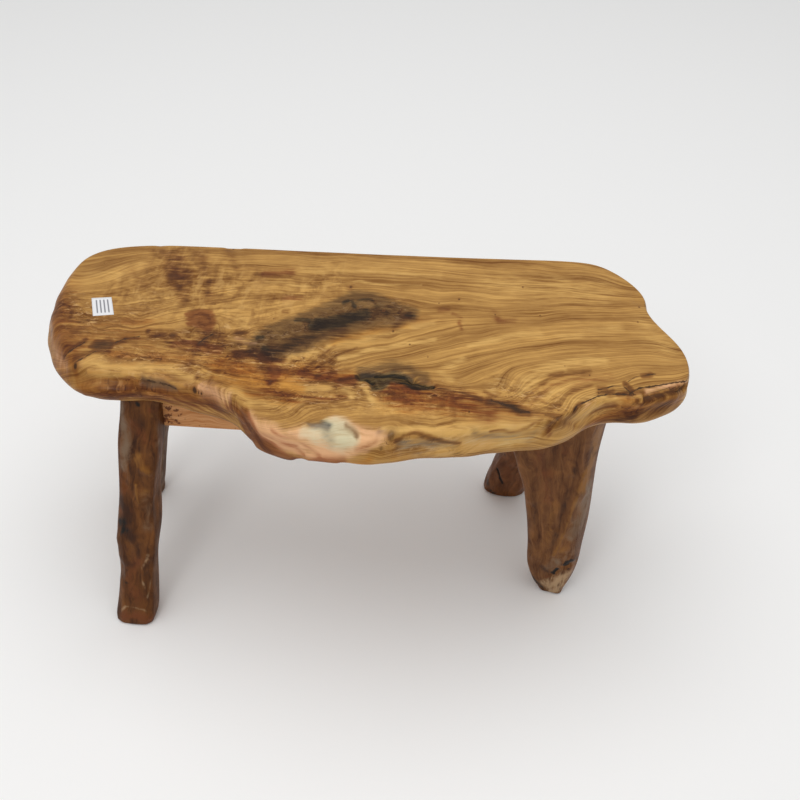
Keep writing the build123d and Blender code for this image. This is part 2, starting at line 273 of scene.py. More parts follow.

# What the eye sees on the plank, drawn one by one: lines of the grain with the rank of their growth rings at both
# ends, patches of colour, cracks, knots, and hollows and swells. Places are in millimetres on the unfolded skin.
# Across the plank all features but the grain are drawn on a scale of 0.6, the slant at which the eye sees them.
slant = (1, 0.6)
grain_lines = (
    (195, 195, (-426, 157, -361, 180, -300, 192, -190, 196, -65, 199, 45, 198, 154, 200, 246, 200, 315, 198, 353,
        191)),
    (175, 175, (-432, 92, -398, 112, -378, 129, -357, 150, -317, 167, -265, 175, -187, 181, -122, 185, -47, 187, 46,
        184, 87, 180, 174, 174, 291, 168, 352, 169, 388, 151)),
    (152, 152, (-449, 71, -413, 70, -381, 79, -352, 100, -323, 124, -303, 136, -258, 144, -180, 143, -103, 145, -27,
        147, 49, 148, 125, 147, 201, 144, 316, 147, 401, 133)),
    (137, 137, (-465, 58, -423, 45, -391, 54, -358, 60, -326, 69, -295, 84, -272, 95, -220, 112, -174, 112, -90, 116,
        -6, 126, 51, 126, 90, 128, 176, 124, 290, 135, 315, 129, 401, 125, 416, 122)),
    (119, 119, (-453, 29, -409, 29, -358, 27, -324, 28, -287, 49, -263, 60, -211, 70, -184, 85, -129, 94, -66, 96,
        -15, 105, 54, 96, 109, 85, 194, 90, 290, 105, 315, 108, 400, 112)),
    (100, 100, (-447, -2, -407, -6, -374, -3, -339, -8, -305, -10, -274, 1, -253, 14, -208, 22, -178, 23, -138, 32,
        -110, 47, -82, 62, -42, 76, -2, 82, 55, 80, 119, 71, 177, 69, 260, 76, 347, 90, 420, 105)),
    (92, 92, (-443, -24, -406, -34, -372, -39, -345, -34, -324, -32, -293, -24, -261, -19, -221, -15, -179, -11, -153,
        -2, -114, 9, -97, 26, -67, 34, -28, 44, 12, 56, 57, 57, 119, 58, 177, 57, 260, 66)),
    (85, 85, (-342, -43, -322, -39, -291, -34, -258, -33, -217, -39, -173, -41, -125, -44, -96, -39, -69, -20, -42, 0,
        -14, 16, 59, 33)),
    (77, 77, (-433, -40, -400, -54, -375, -55, -349, -58, -336, -53, -312, -47, -288, -45, -262, -50, -235, -59, -194,
        -64, -154, -69, -118, -75, -89, -81, -70, -81, -44, -59, -28, -35, 0, -23, 35, -15, 81, 11, 129, 34, 178, 48,
        202, 47, 297, 63, 363, 69, 421, 69)),
    (59, 59, (-397, -87, -374, -86, -358, -72, -332, -63, -308, -61, -274, -67, -240, -71, -207, -74, -165, -84, -119,
        -93, -79, -100, -39, -92, -14, -79, 14, -61, 38, -49, 84, -31, 131, -8, 179, 10, 236, 29, 296, 43, 362, 51,
        427, 50)),
    (36, 36, (-374, -99, -358, -85, -336, -75, -287, -76, -238, -82, -197, -87, -162, -97, -118, -110, -63, -114, -24,
        -106, -4, -100, 8, -92, 25, -80, 40, -70, 67, -65, 86, -58, 133, -36, 179, -15, 236, 6, 287, 19, 361, 30, 426,
        36, 445, 26)),
    (11, 11, (69, -82, 104, -77, 127, -73, 150, -64, 180, -47, 212, -31, 259, -15, 295, -2, 359, 6, 424, 12, 457, 0)),
    (-12, -12, (144, -103, 174, -88, 189, -74, 220, -50, 251, -37, 294, -26, 358, -13, 461, -13)),
    (-29, -29, (178, -117, 205, -112, 220, -85, 228, -67, 251, -55, 294, -44, 341, -32, 382, -22, 463, -22)),
    (-56, -56, (211, -132, 235, -127, 248, -107, 266, -86, 293, -68, 339, -56, 371, -43, 463, -30)),
    (-87, -87, (257, -148, 276, -145, 286, -130, 294, -112, 323, -90, 354, -77, 369, -71, 393, -56, 464, -38)),
    (-117, -117, (305, -143, 315, -123, 336, -108, 360, -99, 377, -94, 399, -83, 459, -62)),
    (-135, -142, (319, -151, 327, -132, 345, -116, 367, -110, 383, -106, 397, -100, 474, -62)),
    (15, -100, (-195, -104, -165, -115, -136, -127, -100, -134, -61, -131, -2, -121, 46, -127, 122, -130, 165, -137,
        205, -145, 239, -154, 284, -160)),
    (-25, -118, (-139, -144, -113, -156, -95, -164, -71, -158, -42, -150, -2, -152, 39, -154, 100, -157, 153, -162,
        205, -165, 257, -169)),
    (-60, -135, (-119, -186, -85, -194, -60, -190, -46, -175, -19, -170, 21, -173, 82, -182, 154, -184, 205, -177,
        259, -176, 323, -154)),
    (-88, -150, (-135, -193, -102, -203, -63, -204, -38, -195, -6, -190, 24, -193, 79, -201, 144, -196, 192, -186,
        226, -185, 270, -182, 330, -156, 356, -132, 393, -119, 456, -90)),
    (-112, -165, (-114, -205, -69, -218, -33, -223, -13, -224, 43, -222, 107, -219, 160, -211, 209, -204, 266, -191,
        337, -162, 359, -142, 412, -121, 460, -92)),
    (-140, -185, (-131, -209, -97, -229, -69, -238, -36, -243, -3, -245, 38, -243, 111, -238, 163, -221, 211, -216,
        257, -208)), (18, -10, (-373, -104, -354, -97, -315, -94, -274, -98, -249, -100, -224, -105)),
    (0, -50, (-369, -116, -342, -113, -310, -113, -278, -116, -246, -122, -222, -127, -190, -134, -160, -146, -136,
        -165, -126, -182)),
    (-25, -80, (-381, -125, -341, -126, -295, -125, -254, -130, -213, -136, -176, -149, -148, -169, -134, -188)),
    (-50, -100, (-391, -133, -352, -141, -308, -140, -262, -143, -216, -145, -179, -159, -154, -177, -139, -197)),
)
patches = {
    # Amber: the wood's amber tone; at the right end it also darkens the lower face as painted shade.
    "amber": (
        (1.1, 25, (-465, 58, -427, -27, -399, -80)), (0.6, 15, (-393, -46, -348, -30, -289, -36)),
        (1, 11.2, (-374, -135, -309, -139, -242, -140, -178, -155)), (0.9, 7.5, (-411, -51, -397, -81, -378, -115)),
        (0.55, 12.5, (-425, -7, -358, -18, -298, -1)), (0.6, 10, (-327, -77, -243, -78, -172, -82)),
        (0.9, 6.25, (-333, -72, -277, -81, -221, -82)), (0.5, 6.25, (80, 35, 116, 48)),
        (0.8, 10, (-157, -90, -118, -99, -66, -99, -5, -98)), (0.5, 7.5, (-126, -143, -78, -147, -6, -142)),
        (0.7, 11.2, (64, -113, 112, -123, 165, -137, 224, -151)), (0.9, 8.75, (346, -149, 358, -135, 379, -127)),
        (1, 10, (371, -123, 411, -119, 465, -95)),
    ),
    "red": (
        (0.4, 10, (-367, -142, -310, -147, -243, -147, -182, -164)), (0.35, 11.2, (-428, -6, -408, -51, -383, -78)),
        (0.35, 7.5, (-388, -16, -395, -41)), (0.45, 11.2, (-299, 154, -278, 109)),
        (1, 4.38, (-245, 27, -233, 33, -218, 24, -208, 5, -210, -12, -224, -11, -239, 5, -245, 27)),
        (0.9, 5.62, (-253, -51, -228, -51, -182, -54)), (0.5, 6.25, (-162, -54, -146, -66, -133, -58)),
        (0.5, 5, (53, 32, 70, 41)), (0.7, 5.5, (-157, 134, -118, 141)), (0.6, 3.75, (-117, 79, -92, 82)),
        (0.5, 5, (-23, 113)), (0.4, 3.75, (114, 68, 126, 68)), (0.45, 2.5, (132, 59, 144, 51, 140, 40, 145, 26)),
        (0.9, 7.5, (-124, -67, -111, -77, -104, -94)), (1.1, 4.25, (-106, -93, -100, -108, -104, -123)),
        (0.9, 4.25, (-66, -99, -43, -100, -16, -88)), (1.2, 5.25, (-9, -107, 8, -109)),
        (0.5, 3.75, (-110, -141, -58, -147, 1, -144)), (0.7, 6.25, (60, -111, 77, -114, 96, -118)),
        (0.62, 11.2, (57, -130, 87, -140, 139, -143, 192, -152)),
        (0.45, 3, (244, -133, 259, -114, 273, -95, 298, -78, 325, -67)), (0.4, 5, (193, 68, 202, 51, 224, 46)),
        (0.4, 5, (304, -95, 325, -76, 352, -65)),
        # the dark red strip on the belly's left side: its own colour, darkened further as painted shade where the
        # face turns away
        (1.15, 4.25, (-136, -179, -125, -186, -118, -200, -108, -216, -95, -229, -79, -241, -66, -254, -73, -253,
            -100, -250, -127, -235, -145, -214, -147, -195, -136, -179)),
        (0.8, 5, (-160, -164, -147, -170, -135, -182)), (1.2, 3.75, (-135, -193, -122, -211, -105, -233)),
        (0.5, 3.75, (-104, -208, -79, -223, -58, -236)), (0.55, 2, (-110, -203, -85, -219, -66, -232, -47, -247)),
        (0.5, 2, (-87, -205, -63, -219, -44, -233, -25, -246)),
        (0.8, 3.75, (-101, -233, -78, -256, -45, -260, 3, -250)), (0.6, 5, (-85, -254, -38, -261, 10, -247)),
        (0.5, 3.75, (278, -182, 270, -171)),
    ),
    # Dark: the wood's dark figure, and painted shade in the hollow under the right tip's edge, on the lower face
    # below it and on the faces turned down beside the belly.
    "dark": (
        (0.25, 17.5, (-444, 21, -418, -39, -396, -73)), (0.3, 6.25, (-351, -139, -309, -144, -256, -144)),
        (0.35, 2.5, (-361, -128, -337, -120, -295, -121, -268, -125)), (0.8, 3.25, (-402, -83, -390, -73, -376, -55)),
        (1.1, 3.75, (-363, -65, -358, -57, -348, -55, -337, -58, -337, -66, -344, -70, -354, -72, -363, -65)),
        (0.75, 3.12, (-381, -97, -370, -88, -357, -75)), (0.8, 2.88, (-336, -59, -329, -49, -320, -42)),
        (0.6, 2.25, (-320, -42, -303, -35, -290, -31)), (0.7, 5.75, (-286, -29, -272, -27)), (1.1, 2.75, (-296, -20)),
        (1.1, 3.75, (-260, -28, -256, -28)), (0.65, 4.5, (-270, -36, -261, -47)),
        (0.35, 10, (-194, -153, -168, -169, -151, -189)),
        (0.55, 6.25, (-327, 189, -308, 156, -297, 118, -277, 83, -258, 51, -253, 59, -266, 94, -271, 132, -288, 158,
            -311, 182, -327, 189)), (0.45, 10, (-272, 194, -246, 126, -226, 69)), (0.35, 7.5, (-226, 199, -200, 150)),
        (0.3, 8.75, (-364, 134, -329, 91)), (0.3, 10, (-185, 168, -155, 107)), (0.35, 5, (-339, 188, -318, 155)),
        (0.3, 6.25, (-414, 124, -387, 149)), (0.25, 11.2, (-359, 115, -334, 137)), (0.3, 7.5, (-364, 25, -319, 25)),
        (0.6, 2, (-239, 20, -231, 27, -218, 19, -212, 5)), (0.5, 2, (-228, 1, -218, -8)),
        (0.5, 7.5, (-252, -39, -196, -37, -153, -37)), (0.95, 5.25, (-216, -43, -202, -25, -187, -29)),
        (0.8, 3.75, (-214, -19, -198, -20)), (0.5, 5, (-216, -73, -218, -95)), (0.4, 3.75, (-203, -99, -205, -116)),
        (0.4, 3.75, (-177, -103, -186, -124)), (0.62, 8.75, (-115, -50, -77, -28, -24, 6)),
        (0.6, 6.25, (-57, 10, -28, 30, 0, 42, 39, 56)), (0.7, 4.5, (-153, -51, -136, -52, -117, -54)),
        (1, 2.75, (-162, -38, -158, -38)), (0.9, 3.25, (-171, -13, -157, -15)), (0.7, 1.62, (13, 88, 20, 77)),
        (1, 1.75, (32, 59)), (1, 2, (58, 60)), (0.9, 1.75, (15, 38)), (1, 3.75, (66, 52, 73, 51)),
        (0.6, 3, (-111, 44, -104, 45)), (0.5, 1.75, (-62, -89, -50, -69, -40, -52, -27, -32)),
        (0.5, 1.5, (-51, -91, -24, -53, 1, -30)), (0.6, 6.25, (-157, -61, -135, -70, -96, -71)),
        (1.1, 2.75, (-103, -125)), (1, 2.5, (-43, -101, -37, -97)), (0.9, 2, (-23, -89, -15, -88)),
        (0.8, 2.5, (-8, -103, 6, -104)), (0.5, 2.75, (-131, -79, -118, -99, -109, -116)),
        (0.9, 3.25, (119, -111, 141, -116, 166, -123, 182, -129)),
        (1.1, 5, (192, -130, 211, -137, 228, -145, 240, -150)), (0.7, 3.75, (240, -150, 263, -154, 284, -158)),
        (0.5, 2.5, (185, -114, 205, -123, 220, -132)),
        (0.55, 2.5, (220, -129, 236, -125, 248, -106, 267, -85, 293, -69, 326, -58)),
        (0.5, 2.25, (265, -144, 283, -130, 294, -112, 311, -98, 327, -88)), (0.5, 3, (262, -94, 274, -72, 290, -64)),
        # Among the next two lines: painted shade in the hollow under the right tip's edge and on the lower face below
        # it.
        (0.6, 3.75, (337, -135, 345, -124, 356, -122)), (1.15, 4, (396, -103, 411, -97, 430, -90, 462, -72)),
        (0.8, 2.5, (382, -110, 392, -113)), (0.5, 5, (356, -148, 373, -136, 413, -124, 462, -100)),
        (0.8, 2.25, (353, -93, 342, -97, 334, -102)), (1, 3, (335, -95, 345, -92)), (0.9, 2.75, (397, -59, 409, -54)),
        (0.8, 3, (370, -80, 377, -92)), (0.9, 2.5, (359, -102, 368, -101)),
        (0.7, 2.5, (371, -105, 382, -96, 394, -91)), (0.9, 2.5, (302, -141, 305, -132, 312, -126)),
        # painted shade along the belly's left strip, where the face turns away
        (0.6, 3.25, (-136, -183, -127, -206, -110, -227, -92, -249, -62, -255)),
        (0.6, 2, (-132, -193, -125, -199, -128, -207)), (0.4, 3, (25, -225, 42, -219, 52, -214)),
        (0.7, 2.5, (9, -198, 18, -201, 25, -206)), (0.5, 1.62, (257, -164, 238, -179, 217, -187, 194, -188)),
        (0.8, 1.88, (76, -213, 85, -208, 100, -205, 123, -206, 141, -209, 157, -210)),
        (0.45, 5.75, (270, -180, 273, -170, 279, -162)), (0.5, 3.75, (297, -161, 322, -161, 344, -152)),
        (0.5, 3.12, (-433, 27, -418, 18, -415, -2, -396, -5)), (0.45, 3.75, (-389, 1, -370, -12)),
    ),
    "slate": (
        (0.4, 3.75, (-356, -65, -343, -62)),
        (1.2, 4.5, (-65, 9, -58, 21, -39, 28, -21, 39, 8, 53, 13, 47, -10, 31, -29, 18, -45, 11, -65, 9)),
        (0.5, 4.25, (-126, -52, -110, -46, -90, -31, -72, -14, -52, 0, -39, 5, -43, -3, -58, -19, -78, -35, -101, -50,
            -119, -58, -126, -52)), (0.5, 5, (-19, 18, 1, 30)), (1.2, 3.5, (-126, -49, -121, -49)),
        (1.2, 2.75, (-139, -22, -132, -22)), (1.1, 2.5, (-90, 25, -79, 23, -68, 18)), (1, 2.5, (-29, 71, -23, 77)),
        (0.9, 1.75, (-9, 79, 0, 85, 10, 87, 16, 83)), (1.2, 2.88, (-16, 75, -12, 67)), (0.6, 5, (23, 69, 39, 56)),
        (0.7, 2.75, (70, 54, 79, 49)),
        (1.3, 2.75, (13, -101, 24, -96, 36, -92, 48, -91, 61, -88, 72, -89, 83, -93, 97, -102, 114, -111, 100, -110,
            81, -103, 64, -98, 54, -101, 50, -111, 46, -117, 40, -120, 35, -121, 34, -115, 27, -105, 13, -101)),
        (0.9, 3.25, (209, -138, 231, -147)), (0.45, 2.5, (-25, -195, -11, -201)),
    ),
    "void": (
        (0.7, 3, (25, -104, 32, -111, 40, -119)),
        (0.85, 1.88, (36, -94, 48, -92, 61, -89, 72, -90, 83, -95, 97, -102, 117, -111)),
        (0.75, 3.25, (59, -99, 76, -102, 92, -108, 109, -112)),
    ),
    # Pale: the wood's pale streaks and patches, and painted highlights along crests and edges: the lip's ridge, the
    # belly's top edge and the right tip.
    "pale": (
        (0.9, 6.25, (-365, -97, -314, -99, -271, -104)), (0.7, 5, (-301, -94, -251, -101, -213, -115)),
        # painted highlight along the crest of the lip's ridge
        (0.8, 2.5, (-356, -113, -324, -113, -289, -115, -254, -120, -222, -128)),
        (0.6, 3.75, (-245, -106, -228, -112, -210, -123)), (0.3, 10, (-341, 50, -299, 62, -249, 41)),
        (0.4, 12.5, (-413, 116, -349, 136)), (0.35, 8.75, (-197, 39, -162, 12)),
        (0.8, 3.75, (-173, -30, -157, -31, -143, -32)), (0.8, 4.25, (-34, -33, 6, -13, 61, 13, 105, 35)),
        (0.7, 3.75, (-51, -49, -86, -61, -91, -77)), (0.8, 3.25, (-17, -57, 23, -35, 91, -15, 112, -6)),
        (0.9, 5, (-85, -122, -62, -124, -22, -121)), (0.8, 4.38, (-2, -127, 10, -141)),
        (0.7, 5, (-151, -139, -134, -148, -119, -165)), (0.6, 3.75, (-115, -165, -82, -164, -57, -155)),
        (0.8, 3.25, (27, -127, 37, -144, 55, -151)), (0.6, 2.5, (105, -136, 126, -140, 153, -152)),
        (0.5, 20, (186, 137, 261, 139, 350, 142)), (0.25, 12.5, (-108, 175, 47, 173)), (0.5, 17.5, (410, 58, 433, 6)),
        (0.8, 5.62, (236, -82, 258, -58, 299, -42, 346, -32)), (0.7, 3.75, (231, -108, 244, -90, 265, -68, 293, -55)),
        (0.6, 3, (268, -121, 281, -103, 300, -89, 325, -78)), (0.7, 3.75, (161, -13, 210, 6, 259, 25)),
        (0.5, 6.25, (287, 23, 330, 36, 373, 48)), (0.6, 1.62, (-174, 112, -99, 115, -6, 127, 81, 130)),
        (0.5, 5, (-106, 159, 18, 156, 109, 160)), (0.6, 5, (151, -43, 123, -77, 139, -89)),
        (0.5, 6.25, (191, -105, 204, -87)), (0.6, 6.25, (337, -106, 303, -124)),
        (0.9, 3.25, (330, -135, 339, -123, 363, -113, 378, -109)), (0.9, 3, (443, -80, 460, -66)),
        (0.7, 2.5, (338, -141, 348, -129, 364, -118)),
        # painted highlight along the belly's top edge
        (1.2, 3.25, (59, -199, 79, -200, 117, -198, 168, -191, 231, -179)), (0.6, 6.25, (205, -171, 257, -166)),
        (0.7, 6.25, (154, -184, 205, -173, 244, -173)), (0.9, 8.75, (134, -217, 185, -206, 235, -195)),
    ),
    # Pink: the wood's salmon patches, made brighter on the belly to stand in for its sheen, and a painted highlight
    # along the crisp edge at the right tip.
    "pink": (
        (0.7, 6.25, (-198, -135, -175, -143, -156, -153)), (0.35, 7.5, (-432, -51, -414, -80, -400, -104)),
        (0.5, 3, (-168, -25, -152, -33, -140, -36)), (0.5, 3.75, (317, -132, 323, -125)),
        # painted highlight along the crisp edge at the right tip
        (0.9, 2.75, (397, -89, 418, -82, 438, -75, 459, -66)),
        (1, 5, (-118, -192, -102, -200, -76, -209, -49, -212, -28, -215, -23, -223, -10, -229, 10, -230, 19, -224, 26,
            -213, 36, -207, 61, -210, 48, -216, 32, -222, 17, -233, -10, -240, -39, -243, -59, -240, -81, -230, -103,
            -214, -118, -192)), (0.8, 4.38, (-10, -192, 14, -194, 43, -203)), (0.9, 6.25, (29, -216, 54, -210)),
    ),
    "mint": (
        (1.02, 5, (-26, -208, -18, -199, -6, -193, 7, -195, 17, -201, 24, -210, 19, -220, 8, -226, -4, -225, -16,
            -220, -33, -219, -49, -216, -47, -211, -35, -209, -26, -208)), (0.6, 4.38, (-6, -227, 17, -228)),
        (0.7, 4.25, (-6, -201, 8, -203)), (0.5, 8.75, (88, -221, 121, -219, 146, -213)),
        (0.4, 11.2, (165, -205, 208, -200, 249, -190)),
    ),
    "grey": (
        (0.8, 3.25, (-278, -121, -265, -124, -250, -127, -235, -132)),
    ),
    "wild": (
        (1, 10, (56, -118, 99, -126, 139, -135)), (0.9, 11.2, (344, -133, 370, -120, 406, -111)),
        (1.1, 27.5, (-214, -48, -149, -58, -90, -75, -39, -96)), (0.8, 20, (-85, -145, -7, -132)),
        (0.9, 15, (-159, -42, -81, -2, -23, 50, 57, 57)), (0.5, 25, (-421, -29, -349, -25, -312, 53)),
        (0.9, 17.5, (13, -130, 72, -125, 139, -135)), (0.8, 15, (204, -98, 244, -125, 283, -138)),
        (1, 16.2, (-437, 30, -405, 14, -379, 2)), (0.8, 17.5, (-335, -75, -263, -82, -205, -90)),
        (0.8, 11.2, (-212, -128, -175, -141, -145, -160)), (0.7, 10, (-290, -31, -217, -36)),
        (0.6, 10, (283, -152, 341, -127, 403, -105)), (0.8, 15, (-322, -131, -254, -132)),
        (0.7, 12.5, (80, -212, 146, -213)),
    ),
    "curl": (
        (1, 32.5, (-308, 156, -248, 99, -185, 91)), (0.8, 30, (-363, 75, -159, 30, -55, 130)),
        (0.8, 17.5, (-6, -138, 74, -141, 153, -150)),
    ),
    "olive": (
        (0.62, 8.75, (-167, -43, -146, -34)),
        (1.35, 8.12, (-140, -41, -137, -22, -128, -9, -109, 5, -84, 22, -61, 41, -39, 61, -28, 77, -17, 84, 12, 90,
            25, 82, 41, 69, 57, 60, 75, 52, 58, 40, 37, 33, 16, 29, -11, 14, -38, -3, -60, -24, -82, -40, -101, -53,
            -119, -59, -140, -41)), (0.9, 6.25, (17, -87, 47, -73, 79, -73, 103, -85)),
        (0.8, 5, (396, -106, 417, -100, 449, -85)), (0.6, 5, (404, -106, 432, -95, 459, -79)),
        (0.55, 7.5, (366, -142, 397, -128, 445, -109)), (0.9, 3.75, (-40, -200, -27, -200, -16, -206)),
        (0.45, 5, (-20, -214, -10, -220)), (0.5, 5, (56, -203, 79, -205, 90, -211)),
        (0.5, 3.75, (81, -217, 120, -213, 154, -217)), (0.5, 3.75, (172, -191, 205, -198, 252, -185)),
    ),
    "gold": (
        (0.6, 7.5, (-28, -21, 11, 6, 67, 24)), (1.1, 13.8, (-174, -91, -139, -110, -104, -128, -74, -130)),
        (0.8, 8.75, (-67, -90, -25, -95, 3, -101)), (0.9, 6.25, (61, -117, 78, -113, 112, -125)),
        (0.8, 12.5, (60, -134, 113, -137, 166, -147)), (0.6, 6.25, (347, -146, 366, -130, 393, -121)),
        (0.6, 3.75, (-76, -212, -50, -221)), (0.9, 3.75, (-55, -246, -18, -250, 11, -241)),
        (0.8, 5, (-59, -255, 3, -254, 45, -243)), (0.5, 10, (82, -225, 134, -219, 197, -205)),
    ),
}
cracks = (
    (0.9, 0.8, (301, -142, 306, -129, 313, -125, 322, -118, 335, -108, 349, -103, 362, -102, 374, -102)),
    (0.8, 0.8, (334, -96, 345, -91, 356, -85, 366, -85)), (0.7, 0.6, (375, -75, 387, -63, 400, -58, 415, -54)),
    (1, 0.9, (378, -98, 389, -87, 412, -80, 434, -72, 457, -64)), (0.9, 0.7, (370, -84, 376, -94, 379, -105)),
    (0.55, 0.8, (125, -111, 145, -116, 166, -122, 182, -129)),
    (0.9, 1.2, (192, -130, 211, -137, 228, -145, 243, -151)), (0.6, 0.8, (263, -153, 285, -160)),
    (0.9, 0.9, (-400, -85, -389, -75, -376, -56)), (0.8, 0.8, (-333, -52, -323, -43, -303, -35)),
    (0.8, 0.7, (-379, -99, -367, -89, -355, -75)), (1, 0.9, (-218, -45, -211, -31, -202, -21)),
    (0.8, 0.8, (-273, -121, -260, -124, -246, -126, -231, -133)),
    (0.8, 0.8, (400, -106, 413, -98, 433, -89, 456, -77)), (0.5, 0.6, (115, -252, 138, -233, 176, -219)),
    (0.5, 0.6, (274, -178, 281, -165, 285, -152)),
)
knots = (
    (-377, -103, 6, 1), (-206, -135, 6.24, 1), (-197, -141, 3.12, 0.9), (68, -207, 8.4, 0.55), (58, -226, 4.8, 0.5),
    (260, 68, 1.92, 0.7), (195, 64, 1.68, 0.7), (235, 139, 1.8, 0.9), (141, 98, 2.4, 0.9), (112, 85, 1.68, 0.6),
    (77, -19, 1.8, 0.7), (405, 103, 1.92, 0.8), (400, 65, 1.68, 0.7), (-407, 144, 1.8, 0.5), (-417, 15, 6, 0.35),
    (-215, 53, 1.68, 0.6), (-22, 115, 3.12, 0.7), (-123, 24, 1.68, 0.6), (-29, -50, 1.56, 0.5), (-66, -64, 1.68, 0.6),
    (325, -65, 1.44, 0.8), (165, -156, 2.4, 1), (-218, 204, 2.4, 0.8), (59, 63, 2.4, 0.8), (33, 60, 2.4, 0.8),
    (-124, -202, 3.12, 0.9), (51, 10, 2.64, 0.8), (104, -45, 1.56, 0.6), (292, -48, 1.44, 0.5), (-76, -32, 1.44, 0.5),
)
relief = (
    (-8, 4.32, (397, -103, 411, -98, 430, -90, 462, -72)), (2.5, 6, (374, -115, 406, -111, 447, -95)),
    (-4.5, 5.04, (17, -98, 31, -92, 50, -89, 69, -91, 86, -97)), (-3.5, 3.6, (86, -97, 103, -104, 116, -110)),
    (-4, 4.32, (31, -103, 37, -115)), (-3.5, 4.32, (47, -101, 45, -114)),
    (-3, 6, (-365, -97, -314, -97, -272, -100, -231, -107, -192, -117)),
    (3, 3.12, (-356, -113, -324, -113, -289, -115, -254, -120, -222, -128, -190, -136)),
    (-1.8, 6, (-370, -125, -322, -126, -295, -128)), (1.5, 7.2, (-366, -141, -309, -140, -269, -141)),
    (-3, 3.84, (-278, -121, -265, -124, -250, -127, -235, -132)), (1.5, 7.2, (-221, -137, -192, -146, -168, -160)),
    (-2, 4.8, (-212, -130, -193, -135, -177, -144)), (-1.6, 3.6, (-141, -169, -130, -190, -117, -212)),
    (4, 8.4, (-133, -235, -99, -247, -74, -257)), (2.5, 7.2, (-42, -254, -4, -251)),
    (2, 7.2, (-102, -201, -77, -213, -50, -224)), (-1.6, 6, (-35, -200, -5, -202, 15, -209)),
    (2.2, 9.6, (72, -202, 117, -201, 169, -192)), (-1.2, 4.2, (75, -214, 84, -208, 100, -205, 123, -207, 141, -212)),
    (-2.4, 3.84, (266, -181, 276, -170, 285, -159, 299, -156, 322, -156)),
    (-1.4, 3.6, (337, -135, 346, -125, 357, -122)), (1.4, 6, (323, -125, 350, -114, 369, -107)),
    (-1.6, 3.6, (370, -84, 376, -94, 379, -105)), (-1.5, 7.2, (-424, -43, -410, -72, -399, -94)),
    (1.5, 8.4, (-456, 18, -436, -23)), (-1.2, 6, (-322, 184, -334, 197)), (-1.2, 4.8, (-227, 204, -208, 203)),
    (-1.5, 6, (402, 120, 414, 106)), (-1, 6, (176, -219, 210, -210, 238, -204)), (-0.8, 8.4, (-98, -111, -75, -126)),
    (-0.6, 10.8, (-151, -49, -90, -36, -26, 17)),
)

def near_line(line, places):
    """For each place: the distance to a line through points, with its side as the sign, how far along the line
    the nearest point is, and how far past the line's ends the place lies."""
    distance = np.full(len(places), 1e6)
    signed, travelled, beyond = np.zeros(len(places)), np.zeros(len(places)), np.zeros(len(places))
    start = 0.0
    for number, (first, last) in enumerate(zip(line[:-1], line[1:])):
        run = last - first
        length = np.hypot(*run)
        share = (places - first) @ run / length**2
        foot = np.clip(share, 0, 1)
        away = places - first - foot[:, None] * run
        near = np.hypot(away[:, 0], away[:, 1])
        side = np.where(run[0] * away[:, 1] - run[1] * away[:, 0] < 0, -near, near)
        past_start = -share * length if number == 0 else 0 * share
        past_end = (share - 1) * length if number == len(line) - 2 else 0 * share
        closer = near < distance
        distance = np.where(closer, near, distance)
        signed = np.where(closer, side, signed)
        travelled = np.where(closer, start + foot * length, travelled)
        beyond = np.where(closer, np.maximum(0, np.maximum(past_start, past_end)), beyond)
        start += length
    return distance, signed, travelled, beyond


def drawn(points):
    """Places given one number after the other, on the slanted scale; a single one is a very short line."""
    line = np.reshape(np.array(points, dtype=float), (-1, 2)) * slant
    return line if len(line) > 1 else np.concatenate([line, line + (0.1, 0)])


def enclosed(outline, places):
    """Which places lie inside a closed outline: those from which a line to the right crosses it an odd number
    of times."""
    inside = np.zeros(len(places), dtype=bool)
    for first, last in zip(outline[:-1], outline[1:]):
        spans = (first[1] > places[:, 1]) != (last[1] > places[:, 1])
        slope = (last[0] - first[0]) / (last[1] - first[1] + 1e-9)
        inside ^= spans & (places[:, 0] < first[0] + (places[:, 1] - first[1]) * slope)
    return inside


def sheet_through(places, values, give):
    """A thin plate spline, the sheet of least bending that passes near given values: a plane, and about each
    place a weight times r² log r. A larger give makes it smoother."""
    def swell(gap):
        return gap**2 * np.log(np.maximum(gap, 1e-6))

    count = len(places)
    system = np.zeros((count + 3, count + 3))
    system[:count, :count] = swell(np.linalg.norm(places[:, None] - places[None], axis=2)) + give * np.eye(count)
    system[:count, count:] = np.concatenate([np.ones((count, 1)), places], axis=1)
    system[count:, :count] = system[:count, count:].T
    solved = np.linalg.solve(system, np.concatenate([values, np.zeros(3)]))

    def height(targets):
        gaps = np.linalg.norm(targets[:, None] - places[None], axis=2)
        return swell(gaps) @ solved[:count] + solved[count] + targets @ solved[count + 1 :]

    return height


# The rank of the growth ring at each point of the skin, worked out from the drawn lines in units of 100 mm
rank_unit = 100
line_places, line_ranks = [], []
for first_rank, last_rank, points in grain_lines:
    line_places.append(np.reshape(points, (-1, 2)) / rank_unit)
    line_ranks.append(np.linspace(first_rank, last_rank, len(line_places[-1])))
ring_rank = sheet_through(np.concatenate(line_places), np.concatenate(line_ranks), 0.02)
rank = np.concatenate([ring_rank(part) for part in np.array_split(skin_flat / rank_unit, 60)])

